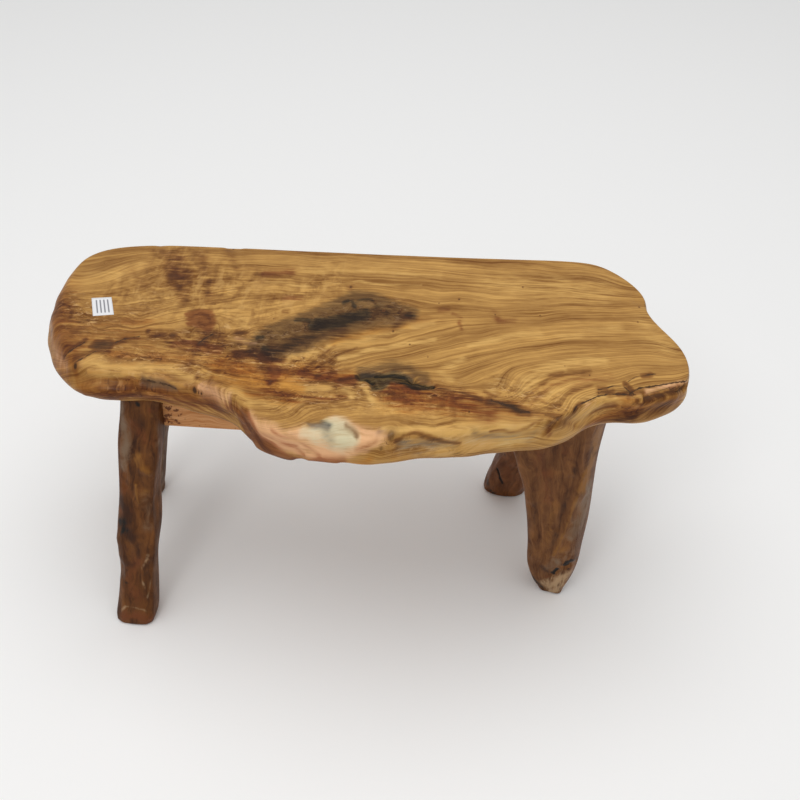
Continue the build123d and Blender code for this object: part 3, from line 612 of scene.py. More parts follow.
# Colours and figure: the strongest patch at each point, fading in proportion to the distance. A line that ends
# where it starts is the outline of a patch.
seen = skin_flat * slant
dice = np.random.default_rng(7)
strayed = seen.copy()
stray_share = 0.013
for length in (110, 75, 50, 34, 24):
    turned, sideways = dice.uniform(0, 6.28, 2), dice.uniform(0, 6.28, 2)
    heading = np.stack([np.cos(turned), np.sin(turned)]) * 6.283 / length
    strayed += stray_share * length * np.sin(seen @ heading + sideways)
no_patch = -0.3
shades = {}
for shade, drawings in patches.items():
    shades[shade] = np.full(len(seen), no_patch)
    for strength, radius, points in drawings:
        line = drawn(points)
        distance = near_line(line, strayed)[0]
        if len(line) > 2 and np.array_equal(line[0], line[-1]):
            distance = np.where(enclosed(line, strayed), 0, distance)
        shades[shade] = np.maximum(shades[shade], strength * (1 - distance / (2 * radius)))

# Cracks: side, run and strength of the nearest one. The strength fades before another crack is nearer.
far_away = 1e6
crack_reach, crack_fade, crack_tail = 8, 4, 1.5
crack_seed = 97.0
crack_gap, crack = np.full(len(seen), far_away), np.zeros((len(seen), 3))
for number, (strength, width, points) in enumerate(cracks):
    distance, signed, travelled, beyond = near_line(drawn(points), seen)
    fade = strength * np.clip((crack_reach - distance) / crack_fade, 0, 1) * np.exp(-beyond / crack_tail)
    here = np.stack([signed / width, travelled + crack_seed * number, fade], axis=1)
    crack = np.where((distance < crack_gap)[:, None], here, crack)
    crack_gap = np.minimum(distance, crack_gap)

# Knots: place from the nearest knot's middle in its own radii. The rings part round the larger ones.
knot_reach, knot_margin, knot_fade = 2.2, 6, 5
ring_push, ring_soften = 0.8, 0.6
knot_gap, knot = np.full(len(seen), far_away), np.zeros((len(seen), 3))
for x, y, radius, strength in knots:
    away = seen - np.array((x, y)) * slant
    distance = np.hypot(away[:, 0], away[:, 1])
    fade = strength * np.clip((knot_reach * radius + knot_margin - distance) / knot_fade, 0, 1)
    knot = np.where((distance < knot_gap)[:, None], np.column_stack([away / radius, fade]), knot)
    knot_gap = np.minimum(distance, knot_gap)
    rank = rank - ring_push * radius**2 * away[:, 1] / (distance**2 + ring_soften * radius**2) / slant[1]

# Hollows and swells square to the skin, and the uneven surface that a drawknife leaves on the natural edge
rim_along = np.roll(rim, -1, axis=1) - np.roll(rim, 1, axis=1)
rim_out = np.cross(np.gradient(rim, axis=0), rim_along)
rim_out /= np.linalg.norm(rim_out, axis=2)[:, :, None] + 1e-12
square_out = np.zeros_like(skin)
square_out[:top_count, 2] = 1
square_out[top_count:under_first] = rim_out[1:].reshape(-1, 3)
square_out[under_first:, 2] = -1
lift = np.zeros(len(skin))
for height, radius, points in relief:
    lift += height * np.exp(-((near_line(drawn(points), seen)[0] / radius) ** 2))
facets = np.zeros(len(skin))
facet_depth, facet_slant, facet_start = 0.011, 0.7, 25
for length in (160, 90, 60, 38, 26, 17):
    heading = dice.normal(size=3) * (1, 1, 1.6)
    facets += facet_depth * length * np.sin(skin @ (heading * 6283 / length) * facet_slant + dice.uniform(0, 6.28))
on_rim = np.zeros(len(skin))
on_rim[top_count:under_first] = np.clip(down_rim[1:] * 1000 / facet_start, 0, 1).ravel()
lift += facets * on_rim
skin = skin + square_out * lift[:, None] / 1000
clearance = 0.0001
skin = np.clip(skin, box_low + clearance, box_high - clearance * np.array((1, 1, 2)))


class Flow:
    """What runs along a line between two nodes. Arithmetic on it adds a node; a plain number divides as its
    share of one."""

    def __init__(self, finish, socket):
        self.finish, self.socket = finish, socket

    def __add__(self, other):
        return self.finish.math("ADD", self, other)

    def __sub__(self, other):
        return self.finish.math("SUBTRACT", self, other)

    def __rsub__(self, other):
        return self.finish.math("SUBTRACT", other, self)

    def __mul__(self, other):
        return self.finish.math("MULTIPLY", self, other)

    def __truediv__(self, other):
        return self.finish.math("DIVIDE", self, other) if isinstance(other, Flow) else self * (1 / other)

    def __abs__(self):
        return self.finish.math("ABSOLUTE", self)


class Finish:
    """A material worked out with nodes. Each method adds one node and gives what flows out of it."""

    def __init__(self, name):
        self.material = bpy.data.materials.new(name)
        self.material.use_nodes = True
        self.tree = self.material.node_tree
        self.surface = self.tree.nodes["Principled BSDF"]

    def feed(self, socket, value):
        """Joins a flow to a socket, or sets the socket to a plain value."""
        if isinstance(value, Flow):
            self.tree.links.new(value.socket, socket)
        elif isinstance(value, (tuple, list)) and len(socket.default_value) == 4:
            socket.default_value = (*value, 1)
        else:
            socket.default_value = value

    def look(self, settings):
        """Feeds the surface's own sockets, by name."""
        for name, value in settings.items():
            self.feed(self.surface.inputs[name], value)

    def node(self, kind, fed=(), outlet=0, **settings):
        """A node of a kind with settings of its own, fed in the order of its sockets or by their names."""
        node = self.tree.nodes.new("ShaderNode" + kind)
        for setting, value in settings.items():
            setattr(node, setting, value)
        for socket, value in fed.items() if isinstance(fed, dict) else enumerate(fed):
            self.feed(node.inputs[socket], value)
        return Flow(self, node.outputs[outlet])

    def attribute(self, name):
        """The three numbers that the mesh carries under this name."""
        return self.node("Attribute", outlet="Vector", attribute_name=name)

    def place(self):
        """The place on the object, in metres."""
        return self.node("TexCoord", outlet="Object")

    def split(self, vector):
        """The three numbers of a vector."""
        outputs = self.node("SeparateXYZ", [vector]).socket.node.outputs
        return [Flow(self, output) for output in outputs]

    def join(self, x, y, z):
        """A vector of three numbers."""
        return self.node("CombineXYZ", [x, y, z])

    def scaled(self, vector, factors):
        """A vector with each of its numbers multiplied by a factor."""
        return self.node("VectorMath", [vector, factors], operation="MULTIPLY")

    def math(self, operation, *values):
        """One step of arithmetic."""
        return self.node("Math", values, operation=operation)

    def noise(self, vector, detail=2.0, roughness=0.5, distortion=0.0):
        """Soft noise from 0 to 1 with grains one unit across."""
        fed = {"Vector": vector, "Scale": 1.0, "Detail": detail, "Roughness": roughness, "Distortion": distortion}
        return self.node("TexNoise", fed)

    def ease(self, value, low, high, first=0.0, last=1.0):
        """A smooth step from the first number to the last one while the value goes from low to high."""
        return self.node("MapRange", [value, low, high, first, last], interpolation_type="SMOOTHSTEP")

    def ramp(self, value, stops):
        """A colour looked up along stops of place and colour."""
        looked_up = self.node("ValToRGB", [value])
        elements = looked_up.socket.node.color_ramp.elements
        for place, _ in stops[2:]:
            elements.new(place)
        for element, (place, colour) in zip(elements, stops):
            element.position = place
            element.color = (*colour, 1)
        return looked_up

    def blend(self, share, first, second, kind="MIX"):
        """Two colours mixed by a share."""
        return self.node("Mix", {0: share, 6: first, 7: second}, 2, data_type="RGBA", blend_type=kind)

    def bump(self, height, depth):
        """Relief too fine for the mesh: a height from 0 to 1 and its depth in metres."""
        self.look({"Normal": self.node("Bump", {"Distance": depth, "Height": height})})

wood = Finish("seat_wood_finish")
run, still_ring, wildness = wood.split(wood.attribute("grain"))
wildness = wood.ease(wildness, 0.0, 1.0)
shade_groups = ("amber_red_dark", "slate_void_pale", "pink_mint_grey", "curl_olive_gold")
masks = {}
for group in shade_groups:
    masks.update(zip(group.split("_"), wood.split(wood.attribute(group))))
wander = wood.noise(wood.join(run / 55, still_ring / 26, 3.7), 1.4) - 0.5
reach = wildness * 34.0 + 7.0
ring = still_ring + wander * reach
ripple = wood.noise(wood.join(run / 18, still_ring / 14, 1.3), 1.6)
ring = ring + (ripple - 0.5) * (wildness * 12.0 + 1.2)


def streaks(length, width, seed, detail=2.0):
    """Soft streaks of wood along the grain, of a length and a width in millimetres."""
    across = ring / width
    return wood.noise(wood.join(run / length, across, seed), detail)


_, deep_in, high_up = wood.split(wood.place())
across = (deep_in - high_up) * 1000.0


def clouds(length, width, seed, detail=4.0, distortion=0.0):
    """Soft clouds of a length along the plank and a width across it in millimetres."""
    spot = wood.join(run / length, across / width, seed)
    return wood.noise(spot, detail, 0.55, distortion)


broad = streaks(420, 26, 1.0, 3.0)
medium = streaks(240, 8.0, 5.0, 3.0)
fine = streaks(110, 2.8, 9.0, 3.0)
fibre = streaks(30, 1.0, 13.0)
ring_lines = abs(streaks(700, 6.5, 21.0, 1.5) - 0.5)
ring_lines = wood.ease(ring_lines, 0.0, 0.040, 1.0, 0.0)
ring_lines = ring_lines * wood.ease(streaks(170, 30, 27.0), 0.36, 0.62)
glow = wood.noise(wood.join(run / 70, ring / 34, 60.0), 3.0, 0.6)
tone = broad * 0.3
for part, share in ((medium, 0.24), (fine, 0.24), (fibre, 0.12), (glow, 0.10)):
    tone = tone + part * share
curl_share = wood.ease(masks["curl"], 0.0, 1.0)
mottle = clouds(21, 13, 90.0, 4.0, 0.7) - 0.5
mottle = mottle * (wood.math("MAXIMUM", curl_share, wildness) * 0.34 + 0.07)
tone = tone + mottle
colour = wood.ramp(tone, (
    (0.38, (0.160, 0.053, 0.005)),
    (0.65, (0.710, 0.400, 0.110)),
    (0.46, (0.300, 0.116, 0.012)),
    (0.51, (0.405, 0.174, 0.022)),
    (0.56, (0.520, 0.252, 0.045)),
))
colour = wood.blend(ring_lines * 0.72, colour, (0.195, 0.074, 0.009))
fray_noise = clouds(44, 5, 31.0, 5.0)
fray = fray_noise * 1.6 + clouds(34, 16, 35.0, 4.0) * 1.1
fray = fray + fine * 0.7 - 1.7


def ragged(mask, low, high, most=1.0):
    """A patch that frays along the grain: noise is added where the mask is part way up."""
    part = wood.ease(mask, -0.05, 0.45)
    return wood.ease(mask + fray * part, low, high, 0.0, most)


curls = clouds(15, 46, 40.0, 3.0, 0.4)
colour = wood.blend(curl_share * wood.ease(curls, 0.5, 0.66, 0.0, 0.7), colour, (0.62, 0.53, 0.46), "MULTIPLY")
colour = wood.blend(curl_share * wood.ease(curls, 0.48, 0.34, 0.0, 0.35), colour, (0.69, 0.41, 0.135))
burl_cloud = wood.ease(clouds(30, 17, 70.0, 5.0, 0.8), 0.46, 0.64, 0.0, 0.78) * wildness
colour = wood.blend(burl_cloud, colour, (0.46, 0.33, 0.24), "MULTIPLY")
vein = abs(clouds(40, 17, 80.0, 3.0, 1.6) - 0.5)
vein = wood.ease(vein, 0.0, 0.034, 0.88, 0.0) * (wildness * wood.ease(fray_noise, 0.4, 0.6))
colour = wood.blend(vein, colour, (0.34, 0.24, 0.20), "MULTIPLY")
pale_flecks = wood.ease(clouds(15, 7, 120.0, 3.0, 1.2), 0.56, 0.66, 0.0, 0.62) * wildness
colour = wood.blend(pale_flecks, colour, (0.720, 0.450, 0.190))
dark_flecks = wood.ease(clouds(11, 6, 130.0, 3.0, 1.5), 0.6, 0.68, 0.0, 0.85) * wildness
colour = wood.blend(dark_flecks, colour, (0.32, 0.20, 0.15), "MULTIPLY")
for patch, shade, low, high, most, kind in (
    # pale: the wood's pale streaks, and painted highlights on crests and edges
    ("pale", (0.720, 0.430, 0.130), 0.00, 1.10, 0.75, "MIX"),
    ("gold", (0.900, 0.680, 0.320), 0.00, 1.00, 0.85, "MULTIPLY"),
    # amber: the wood's amber tone, and painted shade on the lower face at the right end
    ("amber", (0.600, 0.420, 0.260), 0.00, 0.95, 0.92, "MULTIPLY"),
    # pink: salmon wood, brightened as painted sheen on the belly, and a painted highlight at the right tip
    ("pink", (0.860, 0.490, 0.260), 0.00, 1.15, 0.82, "MIX"),
    ("mint", (0.640, 0.585, 0.380), 0.05, 1.45, 0.90, "MIX"),
    ("grey", (0.170, 0.105, 0.055), 0.10, 0.90, 0.75, "MIX"),
    ("olive", (0.350, 0.330, 0.370), 0.00, 0.95, 0.92, "MULTIPLY"),
    # red: the wood's red-brown, darker on the belly's left strip as painted shade
    ("red", (0.520, 0.330, 0.260), 0.00, 0.75, 0.92, "MULTIPLY"),
    ("red", (0.175, 0.054, 0.011), 0.40, 1.20, 0.52, "MIX"),
    # dark: the wood's dark figure, and painted shade in hollows and on faces turned down
    ("dark", (0.490, 0.355, 0.250), 0.00, 0.70, 0.92, "MULTIPLY"),
    ("dark", (0.070, 0.028, 0.009), 0.40, 1.20, 0.72, "MIX"),
    ("slate", (0.400, 0.440, 0.500), 0.00, 0.90, 0.92, "MULTIPLY"),
    ("slate", (0.480, 0.520, 0.560), 0.40, 1.30, 0.92, "MULTIPLY"),
    ("void", (0.012, 0.009, 0.005), 0.30, 0.80, 0.95, "MIX"),
):
    colour = wood.blend(ragged(masks[patch], low, high, most), colour, shade, kind)

crack_side, crack_run, crack_strength = wood.split(wood.attribute("crack"))
wobble = wood.noise(wood.join(crack_run / 5, 0.0, 50.0), 2.0)
crack_side = abs(crack_side + (wobble - 0.5) * 3.0)
crack_width = wood.ease(wood.noise(wood.join(crack_run / 7, 7.0, 50.0), 1.0), 0.2, 0.8, 0.15, 1.9)
crack_line = 1.0 - wood.ease(crack_side / crack_width, 0.55, 1.4)
crack_line = crack_line * wood.ease(crack_strength, 0.15, 0.8)
unbroken = wood.noise(wood.join(crack_run / 17, 3.0, 50.0), 2.0)
unbroken = unbroken + crack_strength * 0.35
crack_line = crack_line * wood.ease(unbroken, 0.62, 0.86, 0.15, 1.0)
colour = wood.blend(crack_line * 0.94, colour, (0.044, 0.019, 0.007))

knot_x, knot_y, knot_strength = wood.split(wood.attribute("knot"))
knot_radius = wood.math("SQRT", knot_x * knot_x + knot_y * knot_y)
knot_radius = knot_radius + (fray_noise - 0.5) * 0.7
knot_share = wood.ease(knot_strength, 0.1, 1.0)
knot_halo = wood.ease(knot_radius, 0.55, 1.3, 0.55, 0.0) * knot_share
knot_core = wood.ease(knot_radius, 0.25, 0.62, 0.92, 0.0) * knot_share
colour = wood.blend(knot_halo, colour, (0.200, 0.072, 0.014))
colour = wood.blend(knot_core, colour, (0.040, 0.016, 0.006))

bare = ragged(masks["void"], 0.38, 0.62)
wood.look({
    "Base Color": colour,
    "Roughness": wood.ease(tone, 0.36, 0.64, 0.55, 0.42) + bare * 0.3,
    "Specular IOR Level": 0.14,
    "Coat Weight": 0.09,
    "Coat Roughness": 0.16,
})
wood.bump(fine * 0.35 + fibre * 0.25 - crack_line * 0.5 - bare * 2.0, 0.0006)


def add_piece(name, points, faces, finish, smooth=True):
    """A mesh object of points in metres and faces, with its finish."""
    mesh = bpy.data.meshes.new(name)
    mesh.from_pydata(points, [], faces)
    mesh.update()
    if smooth:
        mesh.shade_smooth()
    mesh.materials.append(finish.material)
    piece = bpy.data.objects.new(name, mesh)
    bpy.context.scene.collection.objects.link(piece)
    return piece


def carry(piece, name, numbers):
    """Three numbers for each point of a piece, for its finish to read."""
    layer = piece.data.attributes.new(name, "FLOAT_VECTOR", "POINT")
    layer.data.foreach_set("vector", np.ascontiguousarray(numbers, dtype=np.float32).ravel())


seat = add_piece("seat_plank", skin, seat_faces, wood)
carry(seat, "grain", np.column_stack([skin_flat[:, 0], rank, shades["wild"]]))
for group in shade_groups:
    carry(seat, group, np.column_stack([shades[shade] for shade in group.split("_")]))
carry(seat, "crack", crack)
carry(seat, "knot", knot)
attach(seat, "root")
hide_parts("seat_slab")

# The legs: four roots of the same kind of tree, peeled, cut flat with a drawknife, stained darker than the seat
# and oiled. Each has a round tenon in a blind bore of the plank, and its foot is sawn flat to the floor.
leg_height = 0.399
sole_ease = 0.003

# Sections seen from above, anticlockwise, as shares of the width and the depth
square_section_shares = np.array((
    (-0.50, -0.18),
    (-0.46, -0.34),
    (-0.32, -0.46),
    (-0.06, -0.50),
    (0.34, -0.48),
    (0.46, -0.38),
    (0.50, -0.10),
    (0.47, 0.34),
    (0.34, 0.46),
    (0.06, 0.50),
    (-0.34, 0.44),
    (-0.48, 0.24),
))
wedge_section_shares = np.array((
    (-0.50, -0.16),
    (-0.47, -0.34),
    (-0.36, -0.42),
    (-0.06, -0.46),
    (0.26, -0.50),
    (0.35, -0.45),
    (0.49, -0.14),
    (0.48, 0.20),
    (0.34, 0.40),
    (0.06, 0.50),
    (-0.34, 0.44),
    (-0.48, 0.18),
))
rounded_section_shares = np.array((
    (-0.50, -0.10),
    (-0.45, -0.32),
    (-0.26, -0.46),
    (-0.02, -0.50),
    (0.28, -0.44),
    (0.44, -0.28),
    (0.50, -0.02),
    (0.44, 0.28),
    (0.26, 0.44),
    (-0.04, 0.50),
    (-0.32, 0.40),
    (-0.47, 0.18),
))

# Levels from the sole to the head: height, lean along X and Y from the head's place to the foot's, width, depth
# and turn in degrees
front_left_level_shares = np.array((
    (0.00, 1.00, 1.00, 0.99, 0.99, 0),
    (0.14, 0.83, 0.86, 0.90, 0.98, 2),
    (0.28, 0.74, 0.72, 0.96, 0.98, 4),
    (0.42, 0.63, 0.58, 1.03, 1.00, 2),
    (0.58, 0.48, 0.42, 1.03, 1.00, 0),
    (0.78, 0.27, 0.22, 1.04, 0.99, -2),
    (1.00, 0.00, 0.00, 0.98, 0.98, 0),
))
rear_left_level_shares = np.array((
    (0.00, 1.00, 1.00, 0.98, 0.98, 0),
    (0.16, 0.87, 0.86, 0.99, 0.98, 6),
    (0.33, 0.74, 0.70, 0.97, 0.96, 8),
    (0.50, 0.57, 0.52, 0.99, 0.98, 4),
    (0.67, 0.38, 0.34, 1.00, 0.98, 0),
    (0.83, 0.19, 0.17, 1.00, 1.00, -2),
    (1.00, 0.00, 0.00, 0.98, 0.98, 0),
))
front_right_level_shares = np.array((
    (0.00, 1.14, 1.00, 0.26, 0.72, 0),
    (0.05, 1.02, 0.95, 0.38, 0.80, 0),
    (0.15, 0.93, 0.87, 0.51, 0.88, 0),
    (0.30, 0.91, 0.74, 0.56, 0.92, 0),
    (0.45, 0.89, 0.60, 0.60, 0.96, 0),
    (0.60, 0.75, 0.42, 0.67, 1.00, 0),
    (0.80, 0.34, 0.20, 0.82, 1.00, 0),
    (1.00, 0.00, 0.00, 1.00, 1.00, 0),
))
rear_right_level_shares = np.array((
    (0.00, 1.00, 1.00, 0.98, 0.96, -6),
    (0.16, 0.85, 0.85, 1.00, 1.00, -4),
    (0.33, 0.62, 0.66, 0.98, 1.00, 0),
    (0.50, 0.48, 0.48, 0.97, 0.99, 2),
    (0.75, 0.23, 0.24, 0.97, 0.98, 4),
    (1.00, 0.00, 0.00, 0.98, 0.98, 0),
))

# Width and depth at the widest, section, levels, and the places of the head and the foot as shares of the seat
legs = {"front_left_leg": (0.06, 0.056, square_section_shares, front_left_level_shares, (-0.32, -0.143), (-0.366,
    -0.354)), "rear_left_leg": (0.064, 0.06, rounded_section_shares, rear_left_level_shares, (-0.325, 0.172), (-0.427,
    0.264)), "front_right_leg": (0.155, 0.08, wedge_section_shares, front_right_level_shares, (0.306, -0.12), (0.336,
    -0.078)), "rear_right_leg": (0.077, 0.064, rounded_section_shares, rear_right_level_shares, (0.325, 0.182),
    (0.256, 0.408))}
leg_rows = 150
leg_columns = 112
roundness = 0.5

# What the eye sees on each leg, drawn in millimetres: patches of colour, and hollows and swells
leg_patches = {
    "front_left_leg": {
        # Grey on the legs: painted sheen, the lighter grey-brown where the facets catch the light.
        "grey": (
            (0.8, 6.21, (-327, -89, 379, -325, -102, 347, -324, -110, 316, -330, -116, 291, -336, -118, 277)),
            (0.45, 4.05, (-277, -93, 353, -281, -102, 312)),
            (0.38, 8.1, (-303, -132, 228, -299, -136, 207, -304, -143, 180)),
        ),
        "gold": (
            (0.6, 3.38, (-282, -99, 365, -280, -98, 364)),
            (0.6, 6.08, (-309, -115, 302, -305, -120, 283, -292, -120, 275)),
            (1, 1.49, (-315, -127, 253, -316, -131, 236, -314, -135, 221)),
            (0.35, 5.4, (-311, -133, 228, -301, -129, 242)),
        ),
        "dark": (
            (0.6, 5.4, (-298, -101, 363, -296, -103, 352)), (0.4, 5.4, (-310, -106, 342, -310, -113, 310)),
            (1.1, 9.45, (-341, -133, 219, -332, -138, 206, -339, -143, 181, -334, -148, 164)),
            (0.55, 12.2, (-342, -151, 147, -342, -158, 117)), (0.45, 10.8, (-314, -166, 78, -314, -173, 44)),
            (0.5, 5.4, (-319, -151, 149, -322, -156, 129)), (0.6, 4.73, (-312, -162, 95, -313, -168, 66)),
        ),
        "red": (
            (0.6, 4.05, (-283, -98, 373, -279, -96, 372)), (0.7, 9.45, (-339, -121, 259, -336, -129, 238)),
            (1, 4.59, (-348, -133, 202, -338, -139, 200, -328, -138, 207)),
            (0.6, 8.1, (-315, -103, 349, -291, -109, 327)), (0.6, 12.2, (-326, -158, 119, -338, -165, 89)),
            (0.45, 6.75, (-343, -152, 142, -331, -156, 129)), (0.7, 10.8, (-340, -171, 67, -329, -175, 49)),
            (0.9, 8.1, (-355, -182, 16, -329, -182, 17, -313, -174, 4)),
        ),
        "black": (
            (1, 2.7, (-303, -96, 384, -301, -96, 382)), (0.8, 6.75, (-344, -141, 187, -341, -145, 174)),
            (1, 2.16, (-346, -167, 78)), (0.9, 1.76, (-351, -163, 89)),
        ),
        "pale": (
            (0.42, 2.56, (-307, -154, 129, -311, -157, 116, -318, -160, 106)),
            (0.42, 1.62, (-323, -164, 91, -320, -166, 80, -317, -169, 69)),
            (0.34, 1.62, (-306, -160, 81, -310, -166, 64, -315, -172, 52)),
            (0.36, 1.62, (-359, -177, 22, -350, -177, 35, -337, -178, 35, -321, -178, 32, -312, -169, 13)),
        ),
    },
    "front_right_leg": {
        # grey: painted sheen on the facets
        "grey": (
            (0.85, 12.2, (347, -72, 252, 345, -73, 207, 339, -78, 163)), (0.6, 6.75, (304, -72, 71, 334, -77, 117)),
        ),
        "gold": (
            (1.25, 6.75, (347, -78, 371, 348, -73, 329, 344, -78, 294, 339, -85, 259)),
            (0.8, 4.05, (325, -78, 127, 321, -76, 118)),
            (0.8, 2.16, (335, -87, 287, 330, -87, 239, 323, -81, 184, 317, -78, 142, 310, -74, 105)),
            (0.35, 5.4, (301, -83, 234, 299, -79, 187, 298, -75, 127)),
        ),
        "dark": (
            (0.6, 4.05, (321, -90, 303, 318, -86, 249, 313, -81, 197, 309, -78, 154, 302, -74, 111)),
            (0.6, 4.05, (293, -70, 73, 304, -71, 61)), (0.45, 6.75, (271, -80, 228, 272, -74, 179)),
            (0.4, 4.05, (287, -85, 275, 295, -83, 233)), (0.35, 5.4, (273, -88, 336, 279, -86, 295)),
        ),
        "red": (
            (0.9, 2.7, (305, -69, 47)), (0.5, 9.45, (268, -87, 335, 281, -84, 274, 292, -82, 232)),
            (0.4, 8.1, (294, -91, 359, 305, -89, 321)),
        ),
        "black": (
            (1, 3.1, (346, -57, 84, 336, -74, 97)), (1.05, 3.92, (334, -75, 94, 330, -75, 86)),
            (0.85, 2.03, (335, -73, 74)), (1, 2.97, (313, -72, 59)), (0.9, 2.43, (319, -73, 72, 316, -72, 65)),
            (0.55, 5.4, (281, -60, 34, 290, -63, 22, 302, -62, 7)),
        ),
        "pale": (
            (0.8, 9.45, (309, -67, 26, 321, -70, 35, 331, -73, 56)), (0.7, 8.1, (317, -65, 6, 328, -69, 23)),
        ),
    },
    "rear_right_leg": {
        "red": (
            (0.5, 9.45, (233, 128, 101, 247, 136, 59)),
        ),
        "black": (
            (1.1, 2.03, (218, 141, 75, 221, 140, 66, 226, 140, 52, 231, 142, 40)), (1, 2.03, (229, 127, 122)),
            (0.42, 5.4, (205, 161, 30, 208, 158, 8, 219, 152, 5)),
        ),
    },
    "rear_left_leg": {
        # grey: painted sheen on the facets
        "grey": (
            (0.6, 4.05, (-338, 82, 174, -352, 95, 93, -367, 105, 15)),
        ),
    },
}
leg_relief = {
    "front_left_leg": (
        (-4.5, 10.8, (-355, -156, 104, -357, -159, 88)), (1.5, 9.45, (-355, -141, 149)),
        (1.5, 2.7, (-315, -127, 253, -316, -131, 236, -314, -135, 221)),
        (-2.5, 6.75, (-332, -122, 267, -336, -126, 250)), (-2, 8.1, (-296, -115, 303, -294, -119, 287)),
        (-1.5, 6.75, (-306, -155, 110, -311, -167, 65)), (2, 5.4, (-305, -121, 278, -293, -121, 273)),
        (1.6, 3.38, (-311, -156, 122, -318, -163, 95)), (-1.6, 3.38, (-312, -162, 95, -312, -167, 70)),
        (-1.5, 8.1, (-315, -103, 349, -313, -112, 318)), (1, 5.4, (-321, -101, 356, -318, -111, 317)),
        (-2, 9.45, (-291, -118, 215, -294, -125, 179)),
    ),
    "front_right_leg": (
        (2.2, 4.05, (335, -87, 287, 330, -87, 239, 323, -81, 184, 317, -78, 142, 310, -74, 105)),
        (-2.5, 8.1, (344, -78, 233, 338, -80, 188)), (-1.8, 5.4, (319, -88, 281, 316, -84, 226, 310, -79, 171)),
        (-2.5, 4.05, (330, -75, 80, 337, -73, 87, 347, -55, 78)),
        (-2, 3.24, (311, -71, 55, 316, -72, 64, 320, -73, 71)), (1.6, 10.8, (277, -73, 134, 277, -69, 96)),
        (-1.5, 8.1, (265, -75, 211)), (-1.5, 10.8, (282, -89, 337, 290, -87, 297)),
    ),
    "rear_right_leg": (
        (-3, 2.16, (219, 141, 74, 225, 139, 58, 231, 141, 42)), (-2, 9.45, (250, 126, 92)),
    ),
    "rear_left_leg": (),
}


def through_levels(stations, values, places):
    """Values between stations: cubic curves whose slope at each station is that of its neighbours' chord."""
    slopes = np.gradient(values, stations, axis=0)
    cell = np.clip(np.searchsorted(stations, places, side="right") - 1, 0, len(stations) - 2)
    gap = (stations[cell + 1] - stations[cell])[:, None]
    t = (places - stations[cell])[:, None] / gap
    low, high = values[cell], values[cell + 1]
    from_low = (2 * t**3 - 3 * t**2 + 1) * low + (t**3 - 2 * t**2 + t) * gap * slopes[cell]
    return from_low + (3 * t**2 - 2 * t**3) * high + (t**3 - t**2) * gap * slopes[cell + 1]


def leg_points(width, depth, section, levels, head, foot):
    """Rings of a leg from its head down to its sole. Each ring is its section, halfway between the straight
    polygon and the smooth curve through it, scaled, turned and moved as the levels say."""
    heights = np.concatenate([np.linspace(1, sole_ease / leg_height, leg_rows), [0.0025, 0]])
    inset = np.concatenate([np.zeros(leg_rows), [0.0012, sole_ease]])
    lean_x, lean_y, wide, deep, turned = through_levels(levels[:, 0], levels[:, 1:], heights).T
    corners = section * (width, depth)
    side = np.linalg.norm(np.roll(corners, -1, 0) - corners, axis=1)
    stations = np.concatenate([[0], np.cumsum(side)])
    places = np.linspace(0, stations[-1], leg_columns, endpoint=False)
    closed = np.concatenate([corners, corners[:1]])
    straight = np.stack([np.interp(places, stations, closed[:, axis]) for axis in (0, 1)], axis=1)
    ring = (1 - roundness) * straight + roundness * (loop_weights(stations, places) @ corners)
    x = ring[None, :, 0] * (wide - 2 * inset / width)[:, None]
    y = ring[None, :, 1] * (deep - 2 * inset / depth)[:, None]
    cos_turn, sin_turn = np.cos(np.radians(turned))[:, None], np.sin(np.radians(turned))[:, None]
    middle_x = (head[0] + (foot[0] - head[0]) * lean_x) * seat_length
    middle_y = (head[1] + (foot[1] - head[1]) * lean_y) * seat_depth
    rings = np.empty((len(heights), leg_columns, 3))
    rings[:, :, 0] = middle_x[:, None] + x * cos_turn - y * sin_turn
    rings[:, :, 1] = middle_y[:, None] + x * sin_turn + y * cos_turn
    rings[:, :, 2] = (heights * leg_height)[:, None]
    return rings, places


def near_line_in_space(line, places):
    """The distance from each place to a line through points in space."""
    distance = np.full(len(places), 1e6)
    for first, last in zip(line[:-1], line[1:]):
        run = last - first
        share = np.clip((places - first) @ run / (run @ run), 0, 1)
        distance = np.minimum(distance, np.linalg.norm(places - first - share[:, None] * run, axis=1))
    return distance


def drawn_in_space(points):
    """Places given one number after the other; a single one is a very short line."""
    line = np.reshape(np.array(points, dtype=float), (-1, 3))
    return line if len(line) > 1 else np.concatenate([line, line + 0.1])


def wrap_faces(rows, columns):
    """Four-sided faces between neighbouring rows of points, closed round the columns."""
    row, column = np.meshgrid(np.arange(rows - 1), np.arange(columns), indexing="ij")
    beside = (column + 1) % columns
    upper, lower = row * columns, (row + 1) * columns
    return np.stack([upper + column, lower + column, lower + beside, upper + beside], axis=-1).reshape(-1, 4).tolist()


leg_shade_groups = ("grey_gold_dark", "red_black_pale")


